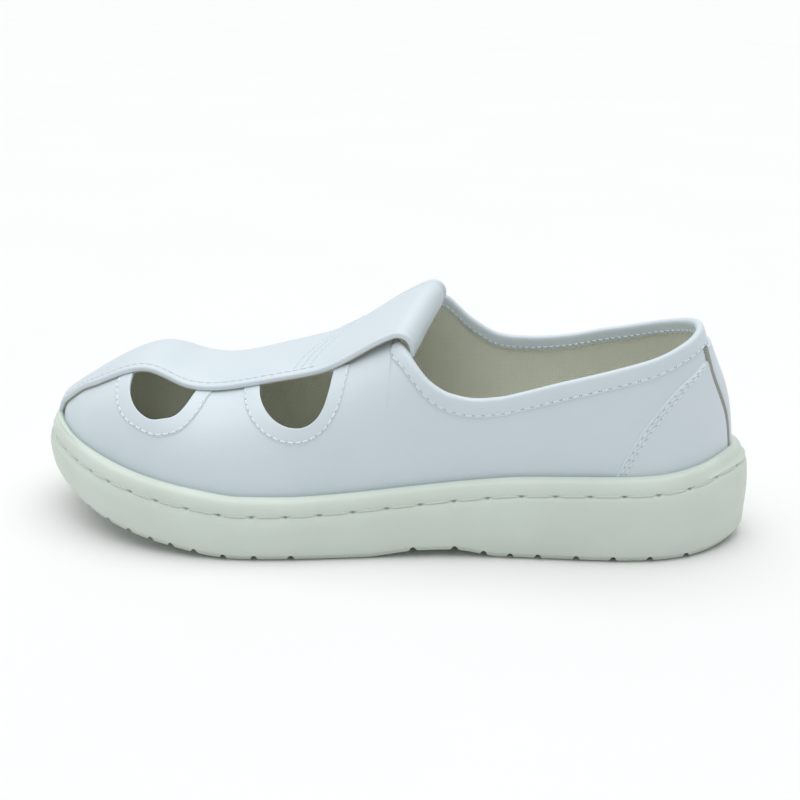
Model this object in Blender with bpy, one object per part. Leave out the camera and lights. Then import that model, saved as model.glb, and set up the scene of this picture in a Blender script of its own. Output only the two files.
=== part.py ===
"""Cleanroom slip-on shoe for the left foot, with four cut-outs in the vamp and an instep strap.

Millimetres, with x measured forward from the back of the heel, y to the wearer's left (the lateral
side) and z up from the floor. Every piece of the upper is taken from one function, the form of the
last, so that overlays sit on the wall and the cup sole closes round it.
"""
import math

import bmesh
import bpy
import numpy as np

MM = 0.001

# Driving sizes
SOLE_LENGTH = 256.5
UPPER_WALL = 2.0
HEEL_INSET = 6.8
TOE_INSET = 4.8
TOE_INSET_START = 222.0
CUP_DEPTH = 11.5
LIP_TO_GROOVE = 5.4
INSOLE_THICKNESS = 3.0
INSOLE_CLEARANCE = 0.4
INSOLE_TIP_TURN = 0.12
STRAP_THICKNESS = 2.0
STRAP_CLEARANCE = 0.5
FACING_WIDTH = 5.6
FACING_THICKNESS = 1.0
FACING_BELOW_STRAP = 0.6
BINDING_DROP = 6.5
BINDING_INNER_DROP = 3.9
BINDING_THICKNESS = 0.9
BINDING_CLEARANCE = 0.45
OVERLAY_THICKNESS = 0.8
OVERLAY_CLEARANCE = 0.5
CLEARANCE = 0.3
LATERAL = 1
MEDIAL = -1

# Plan of the sole at its widest: x, reach to the lateral side, reach to the medial side
SOLE_PLAN = (
    (0, 0, 0),
    (8.5, 17.5, 17.5),
    (29, 30.5, 29),
    (59, 34.5, 31.5),
    (99, 36.5, 32),
    (139, 43, 38.5),
    (171, 48, 45),
    (203, 46, 44.5),
    (229.5, 35.5, 36.5),
    (248, 18.5, 22.5),
    (256.5, -3, 3),
)

# Top of the moulded lip: x, height
LIP_LINE = (
    (0, 35.2),
    (9, 34.5),
    (19, 32.1),
    (34, 30.3),
    (59, 29.6),
    (79, 28.9),
    (99, 27),
    (119, 24.8),
    (139, 22.9),
    (159, 21.9),
    (174, 21.9),
    (189, 23.5),
    (204, 25.6),
    (219, 28.3),
    (234, 31.6),
    (245, 34),
    (256.5, 35.4),
)

# Underside of the sole, with its heel bevel, arch and toe spring: x, height
TREAD_LINE = (
    (0, 3),
    (7, 1.8),
    (15, 0.5),
    (23, 0),
    (85, 0),
    (102, 2.4),
    (113, 2.2),
    (133, 0),
    (175, 0),
    (199, 2.9),
    (214, 5.4),
    (230, 9.2),
    (243, 13.4),
    (256.5, 19),
)

# Side of the sole below the lip: inset, share of the height from tread to groove, height added
SIDE_PROFILE = (
    (2.6, 0, 0),
    (0.9, 0, 1.7),
    (0.2, 0.35, 0),
    (0, 0.6, 0),
    (0.5, 0.85, 0),
    (1.2, 1, -1.1),
    (2.3, 1, 0),
    (1.6, 1, 1.1),
)
# Outside of the lip: inset, drop below its top
LIP_PROFILE = (
    (1.9, 2.6),
    (2.9, 0.9),
)
HEEL_LEAN = 1.1
HEEL_LEAN_START = 2.0
HEEL_LEAN_END = 30.0
# Rounded top of the lip: distance out from where it meets the upper, drop
LIP_CREST = (
    (2.2, 0),
    (0.6, 0.3),
)
LIP_SEAT_DROP = 1.2
CUP_CORNER_HEIGHT = 3.0
SEAT_REACH = 30.0

# Last: x, height of the ridge, y of the ridge, fullness of the lateral and the medial side.
# Between heel and throat the ridge is a roof that the collar line cuts away.
LAST = (
    (7, 27, 0, 2.2, 2.2),
    (7.6, 32, 0, 2.2, 2.2),
    (8.4, 37.5, 0, 2.2, 2.2),
    (9.2, 44, 0, 2.2, 2.2),
    (10.2, 49.6, 0, 2.2, 2.2),
    (13.1, 58.7, 0, 2.2, 2.2),
    (17.2, 68.3, 0, 2.2, 2.2),
    (21, 78, 0, 2.2, 2.2),
    (26.5, 92, 0, 2.2, 2.2),
    (36, 110, 0, 2.3, 2.3),
    (54, 124, 0, 2.3, 2.3),
    (79, 125, -2, 2.3, 2.4),
    (95, 113, -4, 2.5, 2.7),
    (105, 95.2, -5, 2.8, 3.1),
    (113, 83.3, -6, 2.9, 3.4),
    (119, 78.4, -6, 2.9, 3.4),
    (131, 72.4, -6, 2.8, 3.3),
    (147, 64.6, -5, 2.7, 3.2),
    (163, 59.4, -4, 2.6, 3.1),
    (179, 55.4, -3, 2.5, 2.8),
    (191, 53.8, -3, 2.5, 2.6),
    (201, 55.2, -3, 2.5, 2.5),
    (212, 57.9, -3, 2.6, 2.6),
    (221, 56.2, -3, 2.6, 2.4),
    (231, 51.3, -3, 2.6, 2.3),
    (240, 45.9, -3, 2.5, 2.2),
    (246.5, 41.6, -3, 2.2, 2.2),
    (250, 37.4, -3, 2.2, 2.2),
)

# Top line: x, height on that side. The last rows run under the strap to the ridge.
COLLAR_LATERAL = (
    (19, 76.4),
    (26, 73.4),
    (37, 69.2),
    (47, 66.4),
    (55, 64.2),
    (67.7, 60.8),
    (80.6, 57),
    (87, 55.4),
    (95.5, 54.6),
    (103.7, 56),
    (110.5, 59.4),
    (115.5, 64.1),
    (118, 67.2),
    (121, 69.6),
    (124, 72.1),
    (127, 84),
)
COLLAR_MEDIAL = (
    (19, 76.4),
    (27, 72.9),
    (43.6, 68),
    (53, 66.1),
    (64, 63.6),
    (71.4, 62.6),
    (79, 62.1),
    (84.5, 62.1),
    (90.2, 62.9),
    (94, 64.4),
    (97.8, 66.7),
    (101.6, 69.4),
    (105.4, 73.2),
    (109.6, 77.2),
    (113, 78.4),
    (116, 78.4),
    (118, 78.4),
    (122, 80),
)
# More sections where the top line turns: at the throat, and ahead of the top of the heel
THROAT_STATIONS = (86, 91, 96, 101, 105, 108, 110, 112, 114, 116, 118, 120, 122, 124, 126)
HEEL_TOP_STEPS = (0, 0.5, 1.1, 2, 3.4, 5.2)

# Cut-outs as cut in the flat vamp: x, distance down the vamp from the edge of the strap.
# Each is a U that is open under the strap.
FRONT_CUT_OUT = (
    (218.3, -3.7),
    (217.7, 6),
    (215.6, 12.4),
    (211.8, 17),
    (207, 18.6),
    (201.6, 16),
    (197.6, 10.2),
    (195, 3),
    (193, -6.7),
)
REAR_CUT_OUT = (
    (171.6, -4.7),
    (170.2, 4.4),
    (167.8, 10.2),
    (163.5, 15.7),
    (158, 18.9),
    (153, 19.3),
    (149.4, 17.4),
    (147, 13.5),
    (145.8, 8.6),
    (144.8, -4.2),
)
PLUG_OVERSHOOT = 3.0

# Instep strap: x, y of its lateral edge, y of its medial edge
STRAP_PLAN = (
    (111, 18.7, -16.8),
    (139, 19.6, -18.5),
    (169, 19.2, -19.5),
    (196, 18.8, -20.5),
    (205, 17, -20),
    (214, 15, -19.3),
    (223, 13.6, -18.5),
    (232, 11.2, -16),
    (240, 6.8, -12.5),
    (246.5, 4.2, -10.6),
    (250, 2.4, -8.6),
)
# Its free end stands clear of the vamp, higher on the medial side, and rolls down into the mouth
STRAP_FREE_START = 150.0
STRAP_ROLL_START_LATERAL = 126.5
STRAP_ROLL_START_MEDIAL = 115.7
STRAP_ROLL_HEIGHT_LATERAL = 72.5
STRAP_ROLL_HEIGHT_MEDIAL = 82.5
STRAP_ROLL_SLOPE = 0.38
STRAP_ROLL_ARCH = 0.9
STRAP_ROLL_RADIUS_LATERAL = 6.0
STRAP_ROLL_RADIUS_MEDIAL = 3.3
STRAP_ROLL_END = math.radians(-92)
STRAP_TAIL_LATERAL = 1.6
STRAP_TAIL_MEDIAL = 0.4

# Front edge of the heel counter: height, angle from the centre of the back
COUNTER_EDGE = (
    (28, 68),
    (38, 60),
    (50, 48),
    (60, 33),
    (66, 16),
)
HEEL_CENTRE_X = 59.0
HEEL_REACH = 80.0
# Collar binding round that centre: first angle, last angle, points
BINDING_SPANS = (
    (20.5, 38, 10),
    (42, 314, 40),
    (317, 334, 8),
)
BACKSTAY_HALF_WIDTH = 8.0
BACKSTAY_BELOW_BINDING = 1.2
LIP_CLEARANCE = 0.8

# Tread grooves of the heel, the waist and the forefoot, as a distance from the back of the heel
HEEL_GROOVES = (22, 34.5, 47, 59.5, 72.5, 82, 91)
WAIST_GROOVES = (101, 115.3)
FOREFOOT_GROOVES = (156.5, 169, 179.7, 190, 198.4, 206, 214.5, 223, 231.5)
GROOVE_WIDTH = 2.6
GROOVE_DEPTH = 2.0
GROOVE_BELOW = 6.0
GROOVE_REACH = 70.0

# Finishes: base colour and roughness
LEATHERETTE_WHITE = ((0.78, 0.82, 0.86), 0.45)
SOLE_CREAM = ((0.74, 0.77, 0.70), 0.55)
LINING_BEIGE = ((0.52, 0.50, 0.42), 0.85)

# Mesh density
RING_HALF = 44
FINE_RING = 8
UPPER_STATIONS = 40
UPPER_ROWS = 7
INSOLE_STATIONS = 34
INSOLE_COLUMNS = 3
STRAP_COLUMNS = 7
STRAP_SEWN_STEPS = 19
STRAP_FREE_STEPS = 8
STRAP_ROLL_STEPS = 6
PLUG_STEPS = 22
FACING_STEPS = 17
FINE_PATH = 160
COUNTER_ROWS = 9
COUNTER_COLUMNS = 21
BACKSTAY_ROWS = 9
BACKSTAY_COLUMNS = 7


def column(table, index):
    return np.array([row[index] for row in table], float)


def natural_curve(knots, values):
    """Cubic curve through the values, with no bending at its ends."""
    count = len(knots)
    step = np.diff(knots)
    matrix = np.eye(count)
    right = np.zeros(count)
    for i in range(1, count - 1):
        matrix[i, i - 1:i + 2] = step[i - 1], 2 * (step[i - 1] + step[i]), step[i]
        right[i] = 6 * ((values[i + 1] - values[i]) / step[i] - (values[i] - values[i - 1]) / step[i - 1])
    bend = np.linalg.solve(matrix, right)

    def evaluate(x):
        x = np.clip(np.asarray(x, float), knots[0], knots[-1])
        k = np.clip(np.searchsorted(knots, x) - 1, 0, count - 2)
        before = x - knots[k]
        after = knots[k + 1] - x
        h = step[k]
        cubic = (bend[k] * after ** 3 + bend[k + 1] * before ** 3) / (6 * h)
        straight = values[k] * after / h + values[k + 1] * before / h
        return cubic + straight - h / 6 * (bend[k] * after + bend[k + 1] * before)

    return evaluate


def level_curve(table, index):
    """Cubic curve that never passes beyond its rows, so that flat stretches stay flat."""
    knots = column(table, 0)
    values = column(table, index)
    step = np.diff(knots)
    rise = np.diff(values) / step
    slope = np.zeros(len(knots))
    slope[0], slope[-1] = rise[0], rise[-1]
    for i in range(1, len(knots) - 1):
        if rise[i - 1] * rise[i] > 0:
            early = 2 * step[i] + step[i - 1]
            late = step[i] + 2 * step[i - 1]
            slope[i] = (early + late) / (early / rise[i - 1] + late / rise[i])

    def evaluate(x):
        x = np.clip(np.asarray(x, float), knots[0], knots[-1])
        k = np.clip(np.searchsorted(knots, x) - 1, 0, len(knots) - 2)
        h = step[k]
        t = (x - knots[k]) / h
        start = (1 + 2 * t) * (1 - t) ** 2 * values[k] + t * (1 - t) ** 2 * h * slope[k]
        end = t * t * (3 - 2 * t) * values[k + 1] + t * t * (t - 1) * h * slope[k + 1]
        return start + end

    return evaluate


def smooth_step(x, start, end):
    t = np.clip((np.asarray(x, float) - start) / (end - start), 0, 1)
    return t * t * (3 - 2 * t)


def turn_of(x, start, end):
    """Angle from 0 at the start to pi at the end, so that curves close roundly at both tips."""
    return np.arccos(np.clip(1 - 2 * (np.asarray(x, float) - start) / (end - start), -1, 1))


def along(turn, start, end):
    return start + (end - start) / 2 * (1 - np.cos(turn))


lip_height = level_curve(LIP_LINE, 1)
tread_height = level_curve(TREAD_LINE, 1)
collar_height = {LATERAL: level_curve(COLLAR_LATERAL, 1), MEDIAL: level_curve(COLLAR_MEDIAL, 1)}
strap_edge = {LATERAL: level_curve(STRAP_PLAN, 1), MEDIAL: level_curve(STRAP_PLAN, 2)}


def top_line(x, y):
    return np.where(y >= 0, collar_height[LATERAL](x), collar_height[MEDIAL](x))


def floor_height(x):
    """Foot bed of the cup, where the upper's lower edge stands."""
    return lip_height(x) - CUP_DEPTH


# Outline of the sole

def fine_outline():
    """Closed outline at its widest, from the heel along the lateral side, with outward normals."""
    count = RING_HALF * FINE_RING
    turn = np.linspace(0, math.pi, count + 1)
    plan_turn = turn_of(column(SOLE_PLAN, 0), 0, SOLE_LENGTH)
    lateral = natural_curve(plan_turn, column(SOLE_PLAN, 1))(turn)
    medial = -natural_curve(plan_turn, column(SOLE_PLAN, 2))(turn)
    x = along(turn, 0, SOLE_LENGTH)
    points = np.concatenate([np.stack([x, lateral], 1), np.stack([x, medial], 1)[-2:0:-1]])
    tangent = np.roll(points, -1, 0) - np.roll(points, 1, 0)
    tangent /= np.linalg.norm(tangent, axis=1)[:, None]
    return points, np.stack([-tangent[:, 1], tangent[:, 0]], 1)


FINE_POINTS, FINE_NORMALS = fine_outline()
RING_POINTS = FINE_POINTS[::FINE_RING]
RING_NORMALS = FINE_NORMALS[::FINE_RING]
CENTRE_X = SOLE_LENGTH / 2
CENTRE_Y = (RING_POINTS[:, 1].max() + RING_POINTS[:, 1].min()) / 2


def last_inset(x):
    """Distance of the last in from the widest line of the sole, less at the toe."""
    return HEEL_INSET + (TOE_INSET - HEEL_INSET) * smooth_step(x, TOE_INSET_START, SOLE_LENGTH - TOE_INSET)


def half_outline(side, depth):
    """One side of the last's outline at a depth, as rising x with its y."""
    half = RING_HALF * FINE_RING
    points = FINE_POINTS - FINE_NORMALS * (last_inset(FINE_POINTS[:, 0]) + depth)[:, None]
    points = points[:half + 1] if side == LATERAL else np.concatenate([points[half:], points[:1]])[::-1]
    return points[:, 0], points[:, 1]


class Form:
    """Surface of the last at a depth below the outside of the upper; less than 0 is above it."""

    def __init__(self, depth):
        self.start = HEEL_INSET + depth
        self.end = SOLE_LENGTH - TOE_INSET - depth
        self.outline = {side: half_outline(side, depth) for side in (LATERAL, MEDIAL)}
        first = HEEL_INSET
        last = SOLE_LENGTH - TOE_INSET
        ridge_x = np.concatenate([[first], column(LAST, 0), [last]])
        ridge_z = np.concatenate([[floor_height(first)], column(LAST, 1), [floor_height(last)]])
        turn = np.linspace(0, math.pi, 1201)
        x = along(turn, first, last)
        z = natural_curve(turn_of(ridge_x, first, last), ridge_z)(turn)
        run = np.gradient(x)
        rise = np.gradient(z)
        length = np.hypot(run, rise)
        self.ridge_x = x + rise / length * depth
        self.ridge_z = z - run / length * depth
        self.ridge_y = level_curve(LAST, 2)
        self.fullness = {LATERAL: level_curve(LAST, 3), MEDIAL: level_curve(LAST, 4)}

    def ridge(self, x):
        return np.interp(x, self.ridge_x, self.ridge_z)

    def section(self, x, side):
        """y of the ridge, reach from the ridge to that side, base, ridge height and fullness."""
        lateral = np.interp(x, *self.outline[LATERAL])
        medial = np.interp(x, *self.outline[MEDIAL])
        middle = np.clip(self.ridge_y(x), medial, lateral)
        reach = lateral - middle if side == LATERAL else middle - medial
        return middle, reach, floor_height(x), self.ridge(x), self.fullness[side](x)

    def height(self, x, y):
        """Height of the surface over a point of the plan, and the base outside the outline."""
        middle = self.section(x, LATERAL)[0]
        heights = []
        for side in (LATERAL, MEDIAL):
            _, reach, base, ridge, fullness = self.section(x, side)
            share = np.clip(np.abs(y - middle) / np.maximum(reach, 1e-6), 0, 1)
            heights.append(base + (ridge - base) * (1 - share ** fullness) ** (1 / fullness))
        return np.where(y >= middle, heights[0], heights[1])

    def rib(self, x, side, top, rows):
        """Points of one side's section, from the base up to a height or to the ridge."""
        middle, reach, base, ridge, fullness = self.section(x, side)
        share = min(max((min(top, ridge) - base) / max(ridge - base, 1e-6), 0), 1)
        last_angle = math.asin(share ** (fullness / 2))
        angle = np.linspace(0, last_angle, rows + 1)
        y = middle + side * reach * np.cos(angle) ** (2 / fullness)
        z = base + (ridge - base) * np.sin(angle) ** (2 / fullness)
        return np.stack([np.full(rows + 1, x), y, z], 1)

    def pattern_point(self, x, down, side):
        """Point at a distance down the vamp from the strap's edge, measured on the leather."""
        rib = self.rib(x, side, math.inf, 120)[::-1]
        length = np.concatenate([[0], np.cumsum(np.linalg.norm(np.diff(rib, axis=0), axis=1))])
        from_ridge = down + np.interp(side * strap_edge[side](x), side * rib[:, 1], length)
        return np.array([np.interp(from_ridge, length, rib[:, k]) for k in range(3)])

    def meet(self, start, direction, reach, target):
        """Points where lines in plan, from inside the form outwards, come down to a target height.

        The target is a function of the place in plan.
        """
        near = np.zeros(len(start))
        far = np.full(len(start), float(reach))
        for _ in range(40):
            middle = (near + far) / 2
            x, y = (start + direction * middle[:, None]).T
            inside = self.height(x, y) > target(x, y)
            near = np.where(inside, middle, near)
            far = np.where(inside, far, middle)
        x, y = (start + direction * near[:, None]).T
        return np.column_stack([x, y, target(x, y)])


# Meshes

def finish_material(name, finish):
    colour, roughness = finish
    material = bpy.data.materials.new(name)
    material.use_nodes = True
    shader = material.node_tree.nodes["Principled BSDF"]
    shader.inputs["Base Color"].default_value = (*colour, 1)
    shader.inputs["Roughness"].default_value = roughness
    shader.inputs["Metallic"].default_value = 0
    return material


def make_object(name, points, faces, finish):
    """Object from points in millimetres; points that coincide are joined and faces point out."""
    place = (np.asarray(points, float) - (CENTRE_X, CENTRE_Y, 0)) * MM
    mesh = bpy.data.meshes.new(name)
    mesh.from_pydata(place.tolist(), [], faces)
    shape = bmesh.new()
    shape.from_mesh(mesh)
    bmesh.ops.remove_doubles(shape, verts=shape.verts, dist=1e-6)
    bmesh.ops.dissolve_degenerate(shape, edges=shape.edges, dist=1e-7)
    bmesh.ops.recalc_face_normals(shape, faces=shape.faces)
    shape.to_mesh(mesh)
    shape.free()
    mesh.shade_smooth()
    mesh.set_sharp_from_angle(angle=math.radians(40))
    thing = bpy.data.objects.new(name, mesh)
    thing.data.materials.append(finish_material(name, finish))
    bpy.context.collection.objects.link(thing)
    return thing


def cut_away(thing, cutter):
    cutter.hide_render = True
    cutter.display_type = "WIRE"
    cut = thing.modifiers.new(cutter.name, "BOOLEAN")
    cut.operation = "DIFFERENCE"
    cut.object = cutter


def grid_faces(rows, columns, first):
    """Quads of a grid of points that starts at an index."""
    faces = []
    for r in range(rows - 1):
        for c in range(columns - 1):
            a = first + r * columns + c
            faces.append((a, a + 1, a + columns + 1, a + columns))
    return faces


def slab(name, below, above, finish):
    """Closed solid between two grids of the same size."""
    rows, columns, _ = below.shape
    count = rows * columns
    faces = grid_faces(rows, columns, 0) + grid_faces(rows, columns, count)
    edge = [c for c in range(columns)]
    edge += [r * columns + columns - 1 for r in range(1, rows)]
    edge += [(rows - 1) * columns + c for c in range(columns - 2, -1, -1)]
    edge += [r * columns for r in range(rows - 2, 0, -1)]
    for a, b in zip(edge, edge[1:] + edge[:1]):
        faces.append((a, b, b + count, a + count))
    points = np.concatenate([below.reshape(-1, 3), above.reshape(-1, 3)])
    return make_object(name, points, faces, finish)


def thickened(grid, thickness):
    """The grid moved along its own normals, upwards or away from the shoe's middle."""
    down = np.gradient(grid, axis=0)
    across = np.gradient(grid, axis=1)
    normal = np.cross(down, across)
    normal /= np.linalg.norm(normal, axis=2)[:, :, None]
    outward = grid - (CENTRE_X, 0, 0)
    if np.sum(normal * outward) < 0:
        normal = -normal
    return grid + normal * thickness


def sweep(name, rings, finish):
    """Closed solid through rings of points, with both ends capped."""
    count, sides, _ = rings.shape
    faces = [tuple(range(sides)), tuple((count - 1) * sides + k for k in range(sides))]
    for r in range(count - 1):
        for k in range(sides):
            a = r * sides + k
            b = r * sides + (k + 1) % sides
            faces.append((a, b, b + sides, a + sides))
    return make_object(name, rings.reshape(-1, 3), faces, finish)


# Sole

def sole_ring(inset, height):
    """Ring at an inset from the outline; the height is a function of x."""
    place = RING_POINTS - RING_NORMALS * np.asarray(inset)[..., None]
    return np.column_stack([place, height(place[:, 0])])


def groove_height(x):
    return lip_height(x) - LIP_TO_GROOVE


def below_lip(drop):
    return lambda x: lip_height(x) - drop


def side_height(share, added):
    return lambda x: tread_height(x) * (1 - share) + groove_height(x) * share + added


def lip_seat():
    """Ring just clear of the upper, where the lip closes round it."""
    inner = RING_POINTS - RING_NORMALS * SEAT_REACH
    seat = Form(-CLEARANCE)
    return seat.meet(inner, RING_NORMALS, SEAT_REACH, lambda x, y: lip_height(x) - LIP_SEAT_DROP)


def make_outsole():
    """Cup sole as rings from the tread up the side, over the lip and down into the cup."""
    rings = [sole_ring(inset, side_height(share, added)) for inset, share, added in SIDE_PROFILE]
    lean = HEEL_LEAN * (1 - smooth_step(RING_POINTS[:, 0], HEEL_LEAN_START, HEEL_LEAN_END))
    rings += [sole_ring(inset + lean, below_lip(drop)) for inset, drop in LIP_PROFILE]
    seat = lip_seat()
    seat_inset = np.linalg.norm(RING_POINTS - seat[:, :2], axis=1)
    rings += [sole_ring(seat_inset - out, below_lip(drop)) for out, drop in LIP_CREST]
    rings.append(seat)
    cup_inset = last_inset(RING_POINTS[:, 0]) - CLEARANCE
    rings.append(sole_ring(cup_inset, below_lip(CUP_DEPTH - CUP_CORNER_HEIGHT)))
    rings.append(sole_ring(cup_inset, below_lip(CUP_DEPTH + CLEARANCE)))
    sides = 2 * RING_HALF
    faces = []
    for r in range(len(rings) - 1):
        for k in range(sides):
            a = r * sides + k
            b = r * sides + (k + 1) % sides
            faces.append((a, b, b + sides, a + sides))
    for first in (0, (len(rings) - 1) * sides):
        for k in range(RING_HALF):
            mirror = (sides - k) % sides
            faces.append((first + k, first + k + 1, first + sides - k - 1, first + mirror))
    sole = make_object("outsole", np.concatenate(rings), faces, SOLE_CREAM)
    cut_away(sole, make_tread_cutter())


def make_tread_cutter():
    """Bars across the sole that cut the grooves between the lugs."""
    corners = ((-1, -GROOVE_BELOW), (1, -GROOVE_BELOW), (1, GROOVE_DEPTH), (-1, GROOVE_DEPTH))
    points = []
    faces = []
    for x in HEEL_GROOVES + WAIST_GROOVES + FOREFOOT_GROOVES:
        first = len(points)
        for y in (-GROOVE_REACH, GROOVE_REACH):
            for way, above in corners:
                edge = x + way * GROOVE_WIDTH / 2
                points.append((edge, y, tread_height(edge) + above))
        faces += [(first, first + 1, first + 2, first + 3), (first + 4, first + 5, first + 6, first + 7)]
        for k in range(4):
            n = (k + 1) % 4
            faces.append((first + k, first + n, first + n + 4, first + k + 4))
    return make_object("tread_cutter", points, faces, SOLE_CREAM)


def make_insole():
    depth = UPPER_WALL + INSOLE_CLEARANCE
    turn = np.linspace(INSOLE_TIP_TURN, math.pi - INSOLE_TIP_TURN, INSOLE_STATIONS)
    outline = {side: half_outline(side, depth) for side in (LATERAL, MEDIAL)}
    below = []
    for x in along(turn, HEEL_INSET + depth, SOLE_LENGTH - TOE_INSET - depth):
        y = np.linspace(np.interp(x, *outline[LATERAL]), np.interp(x, *outline[MEDIAL]), INSOLE_COLUMNS)
        below.append([(x, place, float(floor_height(x))) for place in y])
    below = np.array(below)
    slab("insole", below, below + (0, 0, INSOLE_THICKNESS), LINING_BEIGE)


# Upper

def upper_stations(outer):
    turn = np.linspace(0, math.pi, UPPER_STATIONS + 1)
    heel_top = float(np.interp(COLLAR_LATERAL[0][1], outer.ridge_z[:300], outer.ridge_x[:300]))
    even = along(turn, outer.start, outer.end)
    return np.sort(np.concatenate([even, THROAT_STATIONS, heel_top + np.array(HEEL_TOP_STEPS)]))


def make_upper():
    outer = Form(0)
    inner = Form(UPPER_WALL)
    stations = upper_stations(outer)
    inner_stations = np.interp(stations, outer.ridge_x, inner.ridge_x)
    skins = ((outer, stations), (inner, inner_stations))
    cut = {}
    for side, collar in collar_height.items():
        cut[side] = np.all([collar(places) < form.ridge(places) - 0.02 for form, places in skins], axis=0)
    is_open = cut[LATERAL] | cut[MEDIAL]
    points = []
    faces = []
    columns = UPPER_ROWS + 1
    count = len(stations) * columns
    for side in (LATERAL, MEDIAL):
        first = len(points)
        for form, places in skins:
            tops = np.where(cut[side], collar_height[side](places), math.inf)
            for place, top in zip(places, tops):
                points += [*form.rib(place, side, top, UPPER_ROWS)]
        for skin in (first, first + count):
            faces += grid_faces(len(stations), columns, skin)
        for r in range(len(stations) - 1):
            base = first + r * columns
            faces.append((base, base + columns, base + columns + count, base + count))
            if is_open[r] or is_open[r + 1]:
                rim = base + UPPER_ROWS
                faces.append((rim, rim + columns, rim + columns + count, rim + count))
    upper = make_object("upper", points, faces, LEATHERETTE_WHITE)
    for name, cut_out in (("front", FRONT_CUT_OUT), ("rear", REAR_CUT_OUT)):
        for side in (LATERAL, MEDIAL):
            cut_away(upper, make_plug(f"{name}_{side_name(side)}_cutter", cut_out, side))


def side_name(side):
    return "lateral" if side == LATERAL else "medial"


def smooth_path(points, count):
    """Even points along a smooth open curve through the given ones."""
    points = np.asarray(points, float)
    length = np.concatenate([[0], np.cumsum(np.linalg.norm(np.diff(points, axis=0), axis=1))])
    place = np.linspace(0, length[-1], count)
    return np.stack([natural_curve(length, points[:, k])(place) for k in range(2)], 1)


def make_plug(name, cut_out, side):
    """Cutter of a cut-out, square to the vamp, from outside the wall to inside it."""
    path = smooth_path(cut_out, PLUG_STEPS)
    count = len(path)
    points = []
    for depth in (-PLUG_OVERSHOOT, UPPER_WALL + PLUG_OVERSHOOT):
        form = Form(depth)
        points += [form.pattern_point(x, down, side) for x, down in path]
    faces = [tuple(range(count)), tuple(range(count, 2 * count))]
    for k in range(count):
        n = (k + 1) % count
        faces.append((k, n, n + count, k + count))
    return make_object(name, points, faces, LEATHERETTE_WHITE)


def make_facing(name, cut_out, side):
    """Band sewn round a cut-out, with its ends cut along the edge of the strap."""
    under = Form(-CLEARANCE)
    path = smooth_path(cut_out, FINE_PATH)
    tangent = np.gradient(path, axis=0)
    tangent /= np.linalg.norm(tangent, axis=1)[:, None]
    outward = np.stack([-tangent[:, 1], tangent[:, 0]], 1)
    if np.sum(outward * (path - path.mean(0))) < 0:
        outward = -outward
    below = []
    for share in (0, 0.5, 1):
        row = path + outward * FACING_WIDTH * share
        row = smooth_path(row[row[:, 1] > FACING_BELOW_STRAP][::4], FACING_STEPS)
        below.append([under.pattern_point(x, down, side) for x, down in row])
    below = np.array(below)
    slab(name, below, thickened(below, FACING_THICKNESS), LEATHERETTE_WHITE)


def hermite(t, start, start_slope, end, end_slope):
    """Cubic from a start to an end value, with its slopes there, for t from 0 to 1."""
    first = (1 + 2 * t) * (1 - t) ** 2 * start + t * (1 - t) ** 2 * start_slope
    return first + t * t * (3 - 2 * t) * end + t * t * (t - 1) * end_slope


def strap_line(form, share):
    """Underside of the strap along one lengthwise line; the share runs from 0, medial, to 1, lateral."""
    from_toe = np.linspace(0, math.pi / 2, STRAP_SEWN_STEPS)
    sewn = STRAP_FREE_START + (STRAP_PLAN[-1][0] - STRAP_FREE_START) * np.cos(from_toe)

    def between(medial, lateral):
        return medial + share * (lateral - medial)

    roll_start = between(STRAP_ROLL_START_MEDIAL, STRAP_ROLL_START_LATERAL)
    crest = between(STRAP_ROLL_HEIGHT_MEDIAL, STRAP_ROLL_HEIGHT_LATERAL)
    crest += STRAP_ROLL_ARCH * 4 * share * (1 - share)
    part_free = np.linspace(0, 1, STRAP_FREE_STEPS)[1:]
    free = STRAP_FREE_START + (roll_start - STRAP_FREE_START) * part_free
    x = np.concatenate([sewn, free])
    y = between(strap_edge[MEDIAL](x), strap_edge[LATERAL](x))
    z = form.height(sewn, y[:STRAP_SEWN_STEPS])
    slope = (form.height(sewn[-1] + 1, y[STRAP_SEWN_STEPS - 1]) - z[-1]) * (roll_start - STRAP_FREE_START)
    end_slope = STRAP_ROLL_SLOPE * (STRAP_FREE_START - roll_start)
    line = np.stack([x, y, np.concatenate([z, hermite(part_free, z[-1], slope, crest, end_slope)])], 1)
    angle = math.atan(STRAP_ROLL_SLOPE)
    turned = np.linspace(angle, STRAP_ROLL_END, STRAP_ROLL_STEPS + 1)[1:]
    radius = between(STRAP_ROLL_RADIUS_MEDIAL, STRAP_ROLL_RADIUS_LATERAL)
    run = radius * (math.sin(angle) - np.sin(turned))
    rise = radius * (np.cos(turned) - math.cos(angle))
    roll = line[-1] + np.stack([-run, np.zeros(len(run)), rise], 1)
    hang = np.array([-math.cos(STRAP_ROLL_END), 0, math.sin(STRAP_ROLL_END)])
    tail = between(STRAP_TAIL_MEDIAL, STRAP_TAIL_LATERAL) * hang
    return np.concatenate([line, roll, [roll[-1] + tail]])


def make_strap():
    """Band from the toe to the throat, where it stands clear of the vamp and rolls into the mouth."""
    form = Form(-STRAP_CLEARANCE)
    lines = [strap_line(form, share) for share in np.linspace(1, 0, STRAP_COLUMNS)]
    below = np.array(lines).transpose(1, 0, 2)
    slab("instep_strap", below, thickened(below, STRAP_THICKNESS), LEATHERETTE_WHITE)


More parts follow.
